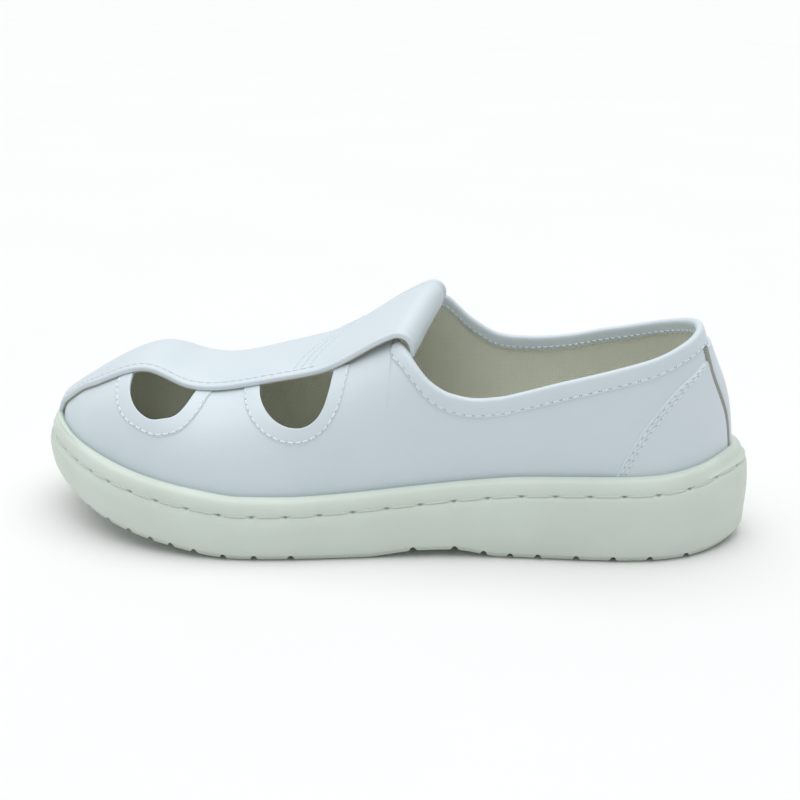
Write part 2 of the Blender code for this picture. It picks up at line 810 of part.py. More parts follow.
def make_collar_binding():
    """Strip folded over the top line, from one side of the strap round the heel to the other."""
    angles = np.radians(np.concatenate([np.linspace(*span) for span in BINDING_SPANS]))
    direction = np.stack([np.cos(angles), np.sin(angles)], 1)
    start = np.tile((HEEL_CENTRE_X, 0.0), (len(angles), 1))
    outer_in = Form(-BINDING_CLEARANCE)
    outer_out = Form(-BINDING_CLEARANCE - BINDING_THICKNESS)
    inner_out = Form(UPPER_WALL + BINDING_CLEARANCE)
    inner_in = Form(UPPER_WALL + BINDING_CLEARANCE + BINDING_THICKNESS)

    def rim_points(form, drop):
        """Points of a form at a drop below the top line."""
        return form.meet(start, direction, HEEL_REACH, lambda x, y: top_line(x, y) - drop)

    ceiling = -BINDING_CLEARANCE
    roof = ceiling - BINDING_THICKNESS
    rings = np.stack([
        rim_points(outer_out, BINDING_DROP),
        rim_points(outer_out, ceiling),
        rim_points(outer_in, roof),
        rim_points(inner_out, roof),
        rim_points(inner_in, ceiling),
        rim_points(inner_in, BINDING_INNER_DROP),
        rim_points(inner_out, BINDING_INNER_DROP),
        rim_points(inner_out, ceiling),
        rim_points(outer_in, ceiling),
        rim_points(outer_in, BINDING_DROP),
    ], 1)
    sweep("collar_binding", rings, LEATHERETTE_WHITE)


# Heel

def level(height):
    return lambda x, y: np.full(np.shape(x), float(height))


def around_heel(form, angle_from_back, height):
    """Point of the form at an angle round the heel, from the centre of the back, and a height."""
    angle = math.pi - angle_from_back
    direction = np.array([[math.cos(angle), math.sin(angle)]])
    return form.meet(np.array([[HEEL_CENTRE_X, 0.0]]), direction, HEEL_REACH, level(height))[0]


def make_counter():
    """Panel round the back of the heel, with slanting front edges."""
    form = Form(-OVERLAY_CLEARANCE)
    edge = level_curve(COUNTER_EDGE, 1)
    below = []
    for share in np.sin(np.linspace(0, math.pi / 2, COUNTER_ROWS)):
        row = []
        for part in np.linspace(1, -1, COUNTER_COLUMNS):
            height = COUNTER_EDGE[0][0]
            for _ in range(6):
                angle = part * math.radians(float(edge(height)))
                foot = around_heel(form, angle, height)
                low = float(lip_height(foot[0])) + LIP_CLEARANCE
                height = low + share * (COUNTER_EDGE[-1][0] - low)
            row.append(around_heel(form, angle, height))
        below.append(row)
    below = np.array(below)
    slab("heel_counter", below, thickened(below, OVERLAY_THICKNESS), LEATHERETTE_WHITE)


def make_backstay():
    """Strip up the centre of the back, over the counter, from the lip to the collar binding."""
    form = Form(-2 * OVERLAY_CLEARANCE - OVERLAY_THICKNESS)
    top = COLLAR_LATERAL[0][1] - BINDING_DROP - BACKSTAY_BELOW_BINDING
    low = float(lip_height(HEEL_INSET)) + LIP_CLEARANCE
    below = []
    for height in np.linspace(low, top, BACKSTAY_ROWS):
        row = []
        for y in np.linspace(BACKSTAY_HALF_WIDTH, -BACKSTAY_HALF_WIDTH, BACKSTAY_COLUMNS):
            start = np.array([[HEEL_CENTRE_X, y]])
            row.append(form.meet(start, np.array([[-1.0, 0.0]]), HEEL_CENTRE_X, level(height))[0])
        below.append(row)
    below = np.array(below)
    slab("backstay", below, thickened(below, OVERLAY_THICKNESS), LEATHERETTE_WHITE)


for old in list(bpy.data.objects):
    bpy.data.objects.remove(old)
make_outsole()
make_insole()
make_upper()
make_strap()
for place_name, cut_out_table in (("front", FRONT_CUT_OUT), ("rear", REAR_CUT_OUT)):
    for shoe_side in (LATERAL, MEDIAL):
        make_facing(f"facing_{place_name}_{side_name(shoe_side)}", cut_out_table, shoe_side)
make_collar_binding()
make_counter()
make_backstay()
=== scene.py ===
"""Left cleanroom shoe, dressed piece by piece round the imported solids, in the order it is put together.

Lengths are millimetres, with x forward from the back of the heel, y to the wearer's left (the lateral
side) and z up from the floor. place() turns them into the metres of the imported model.
"""
import math

import bmesh
import bpy
import numpy as np
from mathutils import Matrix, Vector


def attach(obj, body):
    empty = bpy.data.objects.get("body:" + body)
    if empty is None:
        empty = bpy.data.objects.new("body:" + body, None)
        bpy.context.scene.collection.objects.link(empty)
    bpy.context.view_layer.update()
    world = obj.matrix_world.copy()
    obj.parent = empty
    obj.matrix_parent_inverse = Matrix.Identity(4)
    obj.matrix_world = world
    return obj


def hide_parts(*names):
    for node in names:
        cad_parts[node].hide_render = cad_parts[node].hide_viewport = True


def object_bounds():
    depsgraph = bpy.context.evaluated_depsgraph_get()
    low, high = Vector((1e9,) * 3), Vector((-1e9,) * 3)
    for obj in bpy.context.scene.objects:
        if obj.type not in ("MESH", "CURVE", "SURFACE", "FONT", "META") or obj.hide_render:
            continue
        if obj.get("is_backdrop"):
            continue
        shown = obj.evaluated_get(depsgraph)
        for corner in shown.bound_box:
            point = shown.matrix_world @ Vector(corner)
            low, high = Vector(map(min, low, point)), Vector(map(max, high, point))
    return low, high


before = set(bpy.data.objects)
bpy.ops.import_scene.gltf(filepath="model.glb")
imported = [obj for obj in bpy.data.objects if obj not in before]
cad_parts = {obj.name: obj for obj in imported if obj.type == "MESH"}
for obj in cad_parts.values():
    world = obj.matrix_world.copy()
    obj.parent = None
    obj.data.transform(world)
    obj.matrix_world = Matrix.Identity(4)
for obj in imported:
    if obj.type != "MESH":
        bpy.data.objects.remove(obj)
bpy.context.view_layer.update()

# Upper
# One skin of white coated leatherette, a little over a millimetre thick, pulled over the last and
# cemented into the cup of the sole. Four U-shaped holes are punched in it, open under the strap.
LATERAL = 1
MEDIAL = -1
SOLE_LENGTH = 256.5
HEEL_INSET = 6.8
TOE_INSET = 4.8
TOE_INSET_START = 222.0
CUP_DEPTH = 11.5
SKIN_THICKNESS = 1.1
LEATHERETTE_WHITE = (0.645, 0.725, 0.77)
LEATHERETTE_SHADE = (0.625, 0.705, 0.755)
LEATHERETTE_ROUGHNESS = 0.42
PEBBLES_PER_METRE = 1500
SIDE_NAMES = {LATERAL: "lateral", MEDIAL: "medial"}
# How finely the last is worked out: steps along its ridge, points up a rib, halvings to meet it
RIDGE_STEPS = 1200
PATTERN_ROWS = 160
MEET_HALVINGS = 40
# Mesh of the skin, with closer ribs where the top line turns up at the throat and at the top of the heel
SKIN_ROWS = 30
SKIN_STATIONS = 190
SKIN_OPEN_GAP = 0.02
THROAT_START = 104.0
THROAT_END = 128.0
THROAT_STEP = 0.8
HEEL_TOP_REACH = 6.0
HEEL_TOP_STEP = 0.4
HEEL_RIDGE_STEPS = 300
# Row of the ribs that the length of the cloth is measured along
WEAVE_ROW = 4
# Punches for the holes: points round each, reach above the upper and beyond the inside
HOLE_STEPS = 110
PUNCH_ABOVE = 3.0
PUNCH_THROUGH = 4.0
# Points closer than this many metres are welded, and edges sharper than this many degrees stay creased
WELD_METRES = 1e-6
PLAIN_CREASE = 38

# Widest line of the sole, which the last follows: x, reach to the lateral side, reach to the medial side
SOLE_PLAN = (
    (0, 0, 0),
    (8.5, 17.5, 17.5),
    (29, 30.5, 29),
    (59, 34.5, 31.5),
    (99, 36.5, 32),
    (139, 43, 38.5),
    (171, 48, 45),
    (203, 46, 44.5),
    (229.5, 35.5, 36.5),
    (248, 18.5, 22.5),
    (256.5, -3, 3),
)
# Top of the sole's lip: x, height
LIP_LINE = (
    (0, 35.2),
    (9, 34.5),
    (19, 32.1),
    (34, 30.3),
    (59, 29.6),
    (79, 28.9),
    (99, 27),
    (119, 24.8),
    (139, 22.9),
    (159, 21.9),
    (174, 21.9),
    (189, 23.5),
    (204, 25.6),
    (219, 28.3),
    (234, 31.6),
    (245, 34),
    (256.5, 35.4),
)
# Last: x, height of the ridge, y of the ridge, fullness of the lateral and the medial side
LAST = (
    (7, 27, 0, 2.2, 2.2),
    (7.6, 32, 0, 2.2, 2.2),
    (8.4, 37.5, 0, 2.2, 2.2),
    (9.2, 44, 0, 2.2, 2.2),
    (10.2, 49.6, 0, 2.2, 2.2),
    (13.1, 58.7, 0, 2.2, 2.2),
    (17.2, 68.3, 0, 2.2, 2.2),
    (21, 78, 0, 2.2, 2.2),
    (26.5, 92, 0, 2.2, 2.2),
    (36, 110, 0, 2.3, 2.3),
    (54, 124, 0, 2.3, 2.3),
    (79, 125, -2, 2.3, 2.4),
    (95, 113, -4, 2.5, 2.7),
    (105, 95.2, -5, 2.8, 3.1),
    (113, 83.3, -6, 2.9, 3.4),
    (119, 78.4, -6, 2.9, 3.4),
    (131, 72.4, -6, 2.8, 3.3),
    (147, 64.6, -5, 2.7, 3.2),
    (163, 59.4, -4, 2.6, 3.1),
    (179, 55.4, -3, 2.5, 2.8),
    (191, 53.8, -3, 2.5, 2.6),
    (201, 55.2, -3, 2.5, 2.5),
    (212, 57.9, -3, 2.6, 2.6),
    (221, 56.2, -3, 2.6, 2.4),
    (231, 51.3, -3, 2.6, 2.3),
    (240, 45.9, -3, 2.5, 2.2),
    (246.5, 41.6, -3, 2.2, 2.2),
    (250, 37.4, -3, 2.2, 2.2),
)
# Top line of the quarters: x, height on that side
COLLAR_LATERAL = (
    (19, 76.4),
    (26, 73.4),
    (37, 69.2),
    (47, 66.4),
    (55, 64.2),
    (67.7, 60.8),
    (80.6, 57),
    (87, 55.4),
    (95.5, 54.6),
    (103.7, 56),
    (110.5, 59.4),
    (115.5, 64.1),
    (118, 66.9),
    (120, 69),
    (122, 70.8),
    (124, 72),
    (127, 84),
)
COLLAR_MEDIAL = (
    (19, 76.4),
    (27, 72.9),
    (43.6, 68),
    (53, 66.1),
    (64, 63.6),
    (71.4, 62.6),
    (79, 62.1),
    (84.5, 62.1),
    (90.2, 62.9),
    (94, 64.4),
    (97.8, 66.7),
    (101.6, 69.4),
    (105.4, 73.2),
    (109.6, 77.2),
    (113, 78.4),
    (116, 78.4),
    (118, 78.4),
    (122, 80),
)
# Edges of the instep strap, which the holes are marked out from: x, y lateral, y medial
STRAP_PLAN = (
    (111, 18.7, -16.8),
    (139, 19.6, -18.5),
    (169, 19.2, -19.5),
    (196, 18.8, -20.5),
    (205, 17, -20),
    (214, 15, -19.3),
    (223, 13.6, -18.5),
    (232, 11.2, -16),
    (240, 6.8, -12.5),
    (246.5, 4.2, -10.6),
    (250, 2.4, -8.6),
)
# Holes as punched in the flat vamp: x, distance down the vamp from the edge of the strap
FRONT_HOLE = (
    (218.3, -3.7),
    (217.7, 6),
    (215.6, 12.4),
    (211.8, 17),
    (208, 18),
    (203.5, 15.8),
    (200, 13.3),
    (197.4, 9.8),
    (195, 3),
    (193, -6.7),
)
REAR_HOLE = (
    (171.6, -4.7),
    (170.2, 4.4),
    (167.8, 10.2),
    (163.5, 15.7),
    (158, 18.9),
    (153, 19.3),
    (149.4, 17.4),
    (147, 13.5),
    (145.8, 8.6),
    (144.8, -4.2),
)


def column(table, index):
    return np.array([row[index] for row in table], float)


def natural_curve(knots, values):
    """Cubic curve through the values, with no bending at its ends; each value may be a point."""
    values = np.asarray(values, float)
    flat = values.reshape(len(knots), -1)
    count = len(knots)
    step = np.diff(knots)
    matrix = np.eye(count)
    right = np.zeros(flat.shape)
    for i in range(1, count - 1):
        matrix[i, i - 1:i + 2] = step[i - 1], 2 * (step[i - 1] + step[i]), step[i]
        right[i] = 6 * ((flat[i + 1] - flat[i]) / step[i] - (flat[i] - flat[i - 1]) / step[i - 1])
    bend = np.linalg.solve(matrix, right)

    def evaluate(x):
        x = np.clip(np.asarray(x, float), knots[0], knots[-1])
        k = np.clip(np.searchsorted(knots, x) - 1, 0, count - 2)
        before = (x - knots[k])[..., None]
        after = (knots[k + 1] - x)[..., None]
        h = step[k][..., None]
        cubic = (bend[k] * after ** 3 + bend[k + 1] * before ** 3) / (6 * h)
        straight = flat[k] * after / h + flat[k + 1] * before / h
        result = cubic + straight - h / 6 * (bend[k] * after + bend[k + 1] * before)
        return result.reshape(x.shape + values.shape[1:])

    return evaluate


def level_curve(table, index):
    """Cubic curve that never passes beyond its rows, so that flat stretches stay flat."""
    knots = column(table, 0)
    values = column(table, index)
    step = np.diff(knots)
    rise = np.diff(values) / step
    slope = np.zeros(len(knots))
    slope[0], slope[-1] = rise[0], rise[-1]
    for i in range(1, len(knots) - 1):
        if rise[i - 1] * rise[i] > 0:
            early = 2 * step[i] + step[i - 1]
            late = step[i] + 2 * step[i - 1]
            slope[i] = (early + late) / (early / rise[i - 1] + late / rise[i])

    def evaluate(x):
        x = np.clip(np.asarray(x, float), knots[0], knots[-1])
        k = np.clip(np.searchsorted(knots, x) - 1, 0, len(knots) - 2)
        h = step[k]
        t = (x - knots[k]) / h
        start = (1 + 2 * t) * (1 - t) ** 2 * values[k] + t * (1 - t) ** 2 * h * slope[k]
        end = t * t * (3 - 2 * t) * values[k + 1] + t * t * (t - 1) * h * slope[k + 1]
        return start + end

    return evaluate


def length_along(path):
    """Distance of each point of a path from its start."""
    return np.concatenate([[0], np.cumsum(np.linalg.norm(np.diff(path, axis=0), axis=1))])


def point_at(at, length, path):
    """Points of a path at the given lengths along it."""
    return np.stack([np.interp(at, length, path[:, k]) for k in range(path.shape[1])], -1)


def smooth_step(x, start, end):
    t = np.clip((np.asarray(x, float) - start) / (end - start), 0, 1)
    return t * t * (3 - 2 * t)


def turn_of(x, start, end):
    """Angle from 0 at the start to pi at the end, so that curves close roundly at both tips."""
    return np.arccos(np.clip(1 - 2 * (np.asarray(x, float) - start) / (end - start), -1, 1))


def along(turn, start, end):
    return start + (end - start) / 2 * (1 - np.cos(turn))


lip_height = level_curve(LIP_LINE, 1)
collar_height = {LATERAL: level_curve(COLLAR_LATERAL, 1), MEDIAL: level_curve(COLLAR_MEDIAL, 1)}
strap_edge = {LATERAL: level_curve(STRAP_PLAN, 1), MEDIAL: level_curve(STRAP_PLAN, 2)}


def top_line(x, y):
    return np.where(y >= 0, collar_height[LATERAL](x), collar_height[MEDIAL](x))


def foot_bed(x):
    return lip_height(x) - CUP_DEPTH


def sole_outline(turn):
    """Lateral and medial points of the sole's widest line, with outward normals, at the same x."""
    plan_turn = turn_of(column(SOLE_PLAN, 0), 0, SOLE_LENGTH)
    x = along(turn, 0, SOLE_LENGTH)
    lateral = np.stack([x, natural_curve(plan_turn, column(SOLE_PLAN, 1))(turn)], 1)
    medial = np.stack([x, -natural_curve(plan_turn, column(SOLE_PLAN, 2))(turn)], 1)
    ring = np.concatenate([lateral, medial[-2:0:-1]])
    tangent = np.roll(ring, -1, 0) - np.roll(ring, 1, 0)
    tangent /= np.linalg.norm(tangent, axis=1)[:, None]
    return ring, np.stack([-tangent[:, 1], tangent[:, 0]], 1)


OUTLINE_STEPS = 352
OUTLINE, OUTLINE_NORMALS = sole_outline(np.linspace(0, math.pi, OUTLINE_STEPS + 1))
CENTRE = (SOLE_LENGTH / 2, (OUTLINE[:, 1].max() + OUTLINE[:, 1].min()) / 2, 0)


def place(points):
    """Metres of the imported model, whose origin is under the middle of the sole."""
    return (np.asarray(points, float) - CENTRE) / 1000


def last_inset(x):
    """Distance of the last in from the widest line of the sole, less at the toe."""
    return HEEL_INSET + (TOE_INSET - HEEL_INSET) * smooth_step(x, TOE_INSET_START, SOLE_LENGTH - TOE_INSET)


class Last:
    """Surface of the last at a depth below the outside of the upper; less than 0 is above it."""

    def __init__(self, depth):
        self.start = HEEL_INSET + depth
        self.end = SOLE_LENGTH - TOE_INSET - depth
        points = OUTLINE - OUTLINE_NORMALS * (last_inset(OUTLINE[:, 0]) + depth)[:, None]
        far_side = np.concatenate([points[OUTLINE_STEPS:], points[:1]])[::-1]
        self.outline = {LATERAL: points[:OUTLINE_STEPS + 1].T, MEDIAL: far_side.T}
        first = HEEL_INSET
        last = SOLE_LENGTH - TOE_INSET
        ridge_x = np.concatenate([[first], column(LAST, 0), [last]])
        ridge_z = np.concatenate([[foot_bed(first)], column(LAST, 1), [foot_bed(last)]])
        turn = np.linspace(0, math.pi, RIDGE_STEPS + 1)
        x = along(turn, first, last)
        z = natural_curve(turn_of(ridge_x, first, last), ridge_z)(turn)
        run = np.gradient(x)
        rise = np.gradient(z)
        length = np.hypot(run, rise)
        self.ridge_x = x + rise / length * depth
        self.ridge_z = z - run / length * depth
        self.ridge_y = level_curve(LAST, 2)
        self.fullness = {LATERAL: level_curve(LAST, 3), MEDIAL: level_curve(LAST, 4)}

    def ridge(self, x):
        return np.interp(x, self.ridge_x, self.ridge_z)

    def section(self, x, side):
        """y of the ridge, reach from the ridge to that side, base, ridge height and fullness."""
        lateral = np.interp(x, *self.outline[LATERAL])
        medial = np.interp(x, *self.outline[MEDIAL])
        middle = np.clip(self.ridge_y(x), medial, lateral)
        reach = lateral - middle if side == LATERAL else middle - medial
        return middle, reach, foot_bed(x), self.ridge(x), self.fullness[side](x)

    def height(self, x, y):
        """Height of the surface over a point of the plan, and the base outside the outline."""
        middle = self.section(x, LATERAL)[0]
        heights = []
        for side in (LATERAL, MEDIAL):
            _, reach, base, ridge, fullness = self.section(x, side)
            share = np.clip(np.abs(y - middle) / np.maximum(reach, 1e-6), 0, 1)
            heights.append(base + (ridge - base) * (1 - share ** fullness) ** (1 / fullness))
        return np.where(y >= middle, heights[0], heights[1])

    def ribs(self, x, side, top, rows):
        """Points of one side's sections at several x, from the base up to a height or to the ridge."""
        middle, reach, base, ridge, fullness = [np.asarray(v)[:, None] for v in self.section(x, side)]
        top = np.asarray(top)[:, None]
        share = np.clip((np.minimum(top, ridge) - base) / np.maximum(ridge - base, 1e-6), 0, 1)
        angle = np.arcsin(share ** (fullness / 2)) * np.linspace(0, 1, rows + 1)
        y = middle + side * reach * np.cos(angle) ** (2 / fullness)
        z = base + (ridge - base) * np.sin(angle) ** (2 / fullness)
        return np.stack([np.broadcast_to(np.asarray(x)[:, None], y.shape), y, z], 2)

    def pattern(self, marks, side):
        """Marks of the flat vamp, as x and distance down from the strap's edge, laid on the last."""
        marks = np.asarray(marks, float)
        ribs = self.ribs(marks[:, 0], side, np.full(len(marks), math.inf), PATTERN_ROWS)[:, ::-1]
        laid = []
        for rib, (x, down) in zip(ribs, marks):
            length = length_along(rib)
            from_ridge = down + np.interp(side * strap_edge[side](x), side * rib[:, 1], length)
            laid.append(point_at(from_ridge, length, rib))
        return np.array(laid)

    def meet(self, start, direction, reach, target):
        """Points where lines in plan, from inside the last outwards, come down to a target height."""
        near = np.zeros(len(start))
        far = np.full(len(start), float(reach))
        for _ in range(MEET_HALVINGS):
            middle = (near + far) / 2
            x, y = (start + direction * middle[:, None]).T
            inside = self.height(x, y) > target(x, y)
            near = np.where(inside, middle, near)
            far = np.where(inside, far, middle)
        x, y = (start + direction * near[:, None]).T
        return np.column_stack([x, y, target(x, y)])


def grid_faces(rows, columns, first=0):
    """Quads of a grid of points that starts at an index."""
    start = (np.arange(rows - 1)[:, None] * columns + np.arange(columns - 1)).ravel() + first
    return np.stack([start, start + 1, start + columns + 1, start + columns], 1).tolist()


def make_piece(name, points, faces, finish, weave=None, crease=PLAIN_CREASE):
    """Closed piece in metres, with faces out, smooth but for its creases; weave gives it a cloth map."""
    mesh = bpy.data.meshes.new(name)
    mesh.from_pydata(place(points).tolist(), [], faces)
    if weave is not None:
        corners = np.zeros(len(mesh.loops), np.int32)
        mesh.loops.foreach_get("vertex_index", corners)
        cloth = mesh.uv_layers.new(name="weave")
        cloth.data.foreach_set("uv", np.asarray(weave, np.float32)[corners].ravel())
    shape = bmesh.new()
    shape.from_mesh(mesh)
    bmesh.ops.remove_doubles(shape, verts=shape.verts, dist=WELD_METRES)
    bmesh.ops.dissolve_degenerate(shape, edges=shape.edges, dist=WELD_METRES / 10)
    bmesh.ops.recalc_face_normals(shape, faces=shape.faces)
    shape.to_mesh(mesh)
    shape.free()
    mesh.shade_smooth()
    mesh.set_sharp_from_angle(angle=math.radians(crease))
    piece = bpy.data.objects.new(name, mesh)
    if finish is not None:
        mesh.materials.append(finish)
    bpy.context.scene.collection.objects.link(piece)
    return piece


def dress(piece, slot, *nodes):
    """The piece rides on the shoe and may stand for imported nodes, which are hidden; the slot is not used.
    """
    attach(piece, "root")
    if nodes:
        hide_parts(*nodes)


def new_finish(name, colour, roughness):
    """Principled finish with the place on the shoe ready for its textures."""
    finish = bpy.data.materials.new(name)
    finish.use_nodes = True
    tree = finish.node_tree
    shader = tree.nodes["Principled BSDF"]
    shader.inputs["Base Color"].default_value = (*colour, 1)
    shader.inputs["Roughness"].default_value = roughness
    spot = tree.nodes.new("ShaderNodeTexCoord").outputs["Object"]
    return finish, tree, shader, spot


def noise(tree, spot, per_metre, detail):
    texture = tree.nodes.new("ShaderNodeTexNoise")
    texture.inputs["Scale"].default_value = per_metre
    texture.inputs["Detail"].default_value = detail
    tree.links.new(spot, texture.inputs["Vector"])
    return texture.outputs["Fac"]


def spread(tree, value, low, high, new_low, new_high):
    """A value from one range stretched over another and held inside it."""
    stretch = tree.nodes.new("ShaderNodeMapRange")
    for socket, number in zip(stretch.inputs[1:5], (low, high, new_low, new_high)):
        socket.default_value = number
    tree.links.new(value, stretch.inputs[0])
    return stretch.outputs[0]


def blend_colours(tree, share, first, second):
    """Colour between two; either may be a colour or another node's colour."""
    mixer = tree.nodes.new("ShaderNodeMix")
    mixer.data_type = "RGBA"
    tree.links.new(share, mixer.inputs[0])
    for socket, colour in ((mixer.inputs[6], first), (mixer.inputs[7], second)):
        if isinstance(colour, tuple):
            socket.default_value = (*colour, 1)
        else:
            tree.links.new(colour, socket)
    return mixer.outputs[2]


def raise_surface(tree, shader, height, strength, depth_mm):
    """Bump on top of what the shader already has."""
    bump = tree.nodes.new("ShaderNodeBump")
    bump.inputs["Strength"].default_value = strength
    bump.inputs["Distance"].default_value = depth_mm / 1000
    tree.links.new(height, bump.inputs["Height"])
    socket = shader.inputs["Normal"]
    if socket.is_linked:
        tree.links.new(socket.links[0].from_socket, bump.inputs["Normal"])
    tree.links.new(bump.outputs["Normal"], socket)


def cloud_share(tree, spot, per_metre, detail):
    """Soft clouds from 0 to 1, for a colour that wanders a little over the piece."""
    return spread(tree, noise(tree, spot, per_metre, detail), low=0.35, high=0.65, new_low=0, new_high=1)


def uneven_gloss(tree, shader, spot, per_metre, glossy, dull):
    """Roughness that wanders between two values over the piece."""
    gloss = spread(tree, noise(tree, spot, per_metre, detail=3), low=0.3, high=0.7, new_low=glossy,
                   new_high=dull)
    tree.links.new(gloss, shader.inputs["Roughness"])


def leatherette(name, light, shade, roughness):
    """Coated cloth with a fine pebbled grain, a little uneven in colour and gloss."""
    finish, tree, shader, spot = new_finish(name, light, roughness)
    cloud = cloud_share(tree, spot, per_metre=38, detail=4)
    tree.links.new(blend_colours(tree, cloud, light, shade), shader.inputs["Base Color"])
    uneven_gloss(tree, shader, spot, per_metre=160, glossy=roughness - 0.06, dull=roughness + 0.08)
    pebbles = tree.nodes.new("ShaderNodeTexVoronoi")
    pebbles.feature = "SMOOTH_F1"
    pebbles.inputs["Scale"].default_value = PEBBLES_PER_METRE
    tree.links.new(spot, pebbles.inputs["Vector"])
    raise_surface(tree, shader, pebbles.outputs["Distance"], strength=0.16, depth_mm=0.12)
    waves = noise(tree, spot, per_metre=110, detail=3)
    raise_surface(tree, shader, waves, strength=0.12, depth_mm=0.5)
    return finish


def cut_holes(piece, margin, deep):
    """Punches the four holes through a piece, each wider by a margin, and keeps the cut mesh."""
    punches = []
    for hole in (FRONT_HOLE, REAR_HOLE):
        outline = wider_path(smooth_path(hole, HOLE_STEPS), margin)
        count = len(outline)
        for side in (LATERAL, MEDIAL):
            points = np.concatenate([Last(depth).pattern(outline, side) for depth in (-PUNCH_ABOVE, deep)])
            faces = [list(range(count)), list(range(count, 2 * count))]
            faces += [[k, (k + 1) % count, (k + 1) % count + count, k + count] for k in range(count)]
            punch = make_piece(f"punch_{len(punches)}", points, faces, None)
            cut = piece.modifiers.new(punch.name, "BOOLEAN")
            cut.operation = "DIFFERENCE"
            cut.object = punch
            punches.append(punch)
    cut_mesh = bpy.data.meshes.new_from_object(piece.evaluated_get(bpy.context.evaluated_depsgraph_get()))
    piece.modifiers.clear()
    piece.data = cut_mesh
    for punch in punches:
        bpy.data.objects.remove(punch)


def smooth_path(points, count):
    """Even points along a smooth open curve through the given ones."""
    points = np.asarray(points, float)
    length = length_along(points)
    return natural_curve(length, points)(np.linspace(0, length[-1], count))


def wider_path(path, margin):
    """The open path moved outwards from its own middle, in the flat."""
    tangent = np.gradient(path, axis=0)
    tangent /= np.linalg.norm(tangent, axis=1)[:, None]
    outward = np.stack([-tangent[:, 1], tangent[:, 0]], 1)
    if np.sum(outward * (path - path.mean(0))) < 0:
        outward = -outward
    return path + outward * margin


def lasted_skin(name, outside, inside, collar_drop, finish, rows, stations):
    """Wall between two depths of the last, open underneath and at the top line."""
    outer = Last(outside)
    inner = Last(inside)
    heel_z = outer.ridge_z[:HEEL_RIDGE_STEPS]
    heel_top = float(np.interp(COLLAR_LATERAL[0][1], heel_z, outer.ridge_x[:HEEL_RIDGE_STEPS]))
    even = along(np.linspace(0, math.pi, stations + 1), outer.start, outer.end)
    throat = np.arange(THROAT_START, THROAT_END, THROAT_STEP)
    heel = heel_top + np.arange(0, HEEL_TOP_REACH, HEEL_TOP_STEP)
    places = np.sort(np.concatenate([even, throat, heel]))
    inner_places = np.interp(places, outer.ridge_x, inner.ridge_x)
    skins = ((outer, places), (inner, inner_places))
    cut = {}
    for side, collar in collar_height.items():
        cut[side] = np.all([collar(x) - collar_drop < form.ridge(x) - SKIN_OPEN_GAP for form, x in skins],
                           axis=0)
    is_open = cut[LATERAL] | cut[MEDIAL]
    columns = rows + 1
    count = len(places) * columns
    points, faces, weave = [], [], []
    for side in (LATERAL, MEDIAL):
        first = sum(map(len, points))
        for form, x in skins:
            top = np.where(cut[side], collar_height[side](x) - collar_drop, math.inf)
            ribs = form.ribs(x, side, top, rows)
            girth = np.cumsum(np.linalg.norm(np.diff(ribs, axis=1, prepend=ribs[:, :1]), axis=2), axis=1)
            length = length_along(ribs[:, WEAVE_ROW])
            weave.append(np.stack([np.broadcast_to(length[:, None], girth.shape), girth], 2).reshape(-1, 2))
            points.append(ribs.reshape(-1, 3))
        faces += grid_faces(len(places), columns, first) + grid_faces(len(places), columns, first + count)
        for r in range(len(places) - 1):
            foot = first + r * columns
            rim = foot + rows
            edges = [foot] + ([rim] if is_open[r] or is_open[r + 1] else [])
            faces += [[e, e + columns, e + columns + count, e + count] for e in edges]
    return make_piece(name, np.concatenate(points), faces, finish, np.concatenate(weave))


white_leatherette = leatherette(
    "white_leatherette", LEATHERETTE_WHITE, LEATHERETTE_SHADE, LEATHERETTE_ROUGHNESS)
upper_skin = lasted_skin("upper_skin", 0, SKIN_THICKNESS, 0, white_leatherette, SKIN_ROWS, SKIN_STATIONS)
cut_holes(upper_skin, 0, SKIN_THICKNESS + PUNCH_THROUGH)
dress(upper_skin, "leatherette_white", "upper")

# Hole facings
# A band of the same leatherette is sewn round each hole, flush with its edge, to keep the hole from
# tearing. Its edges are skived round, and one row of white thread runs near the outer edge.
FACING_WIDTH = 5.6
FACING_STEPS = 150
FACING_UNDER_STRAP = -1.5
FACING_SEAM = 0.91
FACING_SEAM_MARGIN = 4
FACING_SINK = 0.1
HOLE_EDGE_STEPS = 400
HOLE_EDGE_KEPT = 8
STITCH_WHITE = (0.80, 0.87, 0.91)
STITCH_RINGS = 9
STITCH_SIDES = 7
# In shares of the thread's radius: rise of a stitch in its middle, dive and taper at its ends, flattening
STITCH_RISE = 0.5
STITCH_DIVE = 1.7
STITCH_TAPER = 0.35
STITCH_FLATNESS = 1.15
# Needle holes, each a thin dark lens of painted shade: lift in shares of the thread's radius, then its rim,
# crown and root
NEEDLE_HOLE_PAINTED_SHADE = (0.30, 0.32, 0.32)
NEEDLE_HOLE_SIDES = 8
NEEDLE_HOLE_LIFT = 1.2
NEEDLE_HOLE_RIM = 0.02
NEEDLE_HOLE_CROWN = 0.08
NEEDLE_HOLE_ROOT = 0.2
# Across the band, from the hole outwards: share of the width, height of the leather
FACING_PROFILE = (
    (0, 0.12),
    (0.02, 0.36),
    (0.06, 0.47),
    (0.14, 0.5),
    (0.35, 0.5),
    (0.6, 0.5),
    (0.8, 0.49),
    (0.87, 0.45),
    (0.91, 0.4),
    (0.945, 0.43),
    (0.97, 0.42),
    (0.988, 0.34),
    (1, 0.06),
)


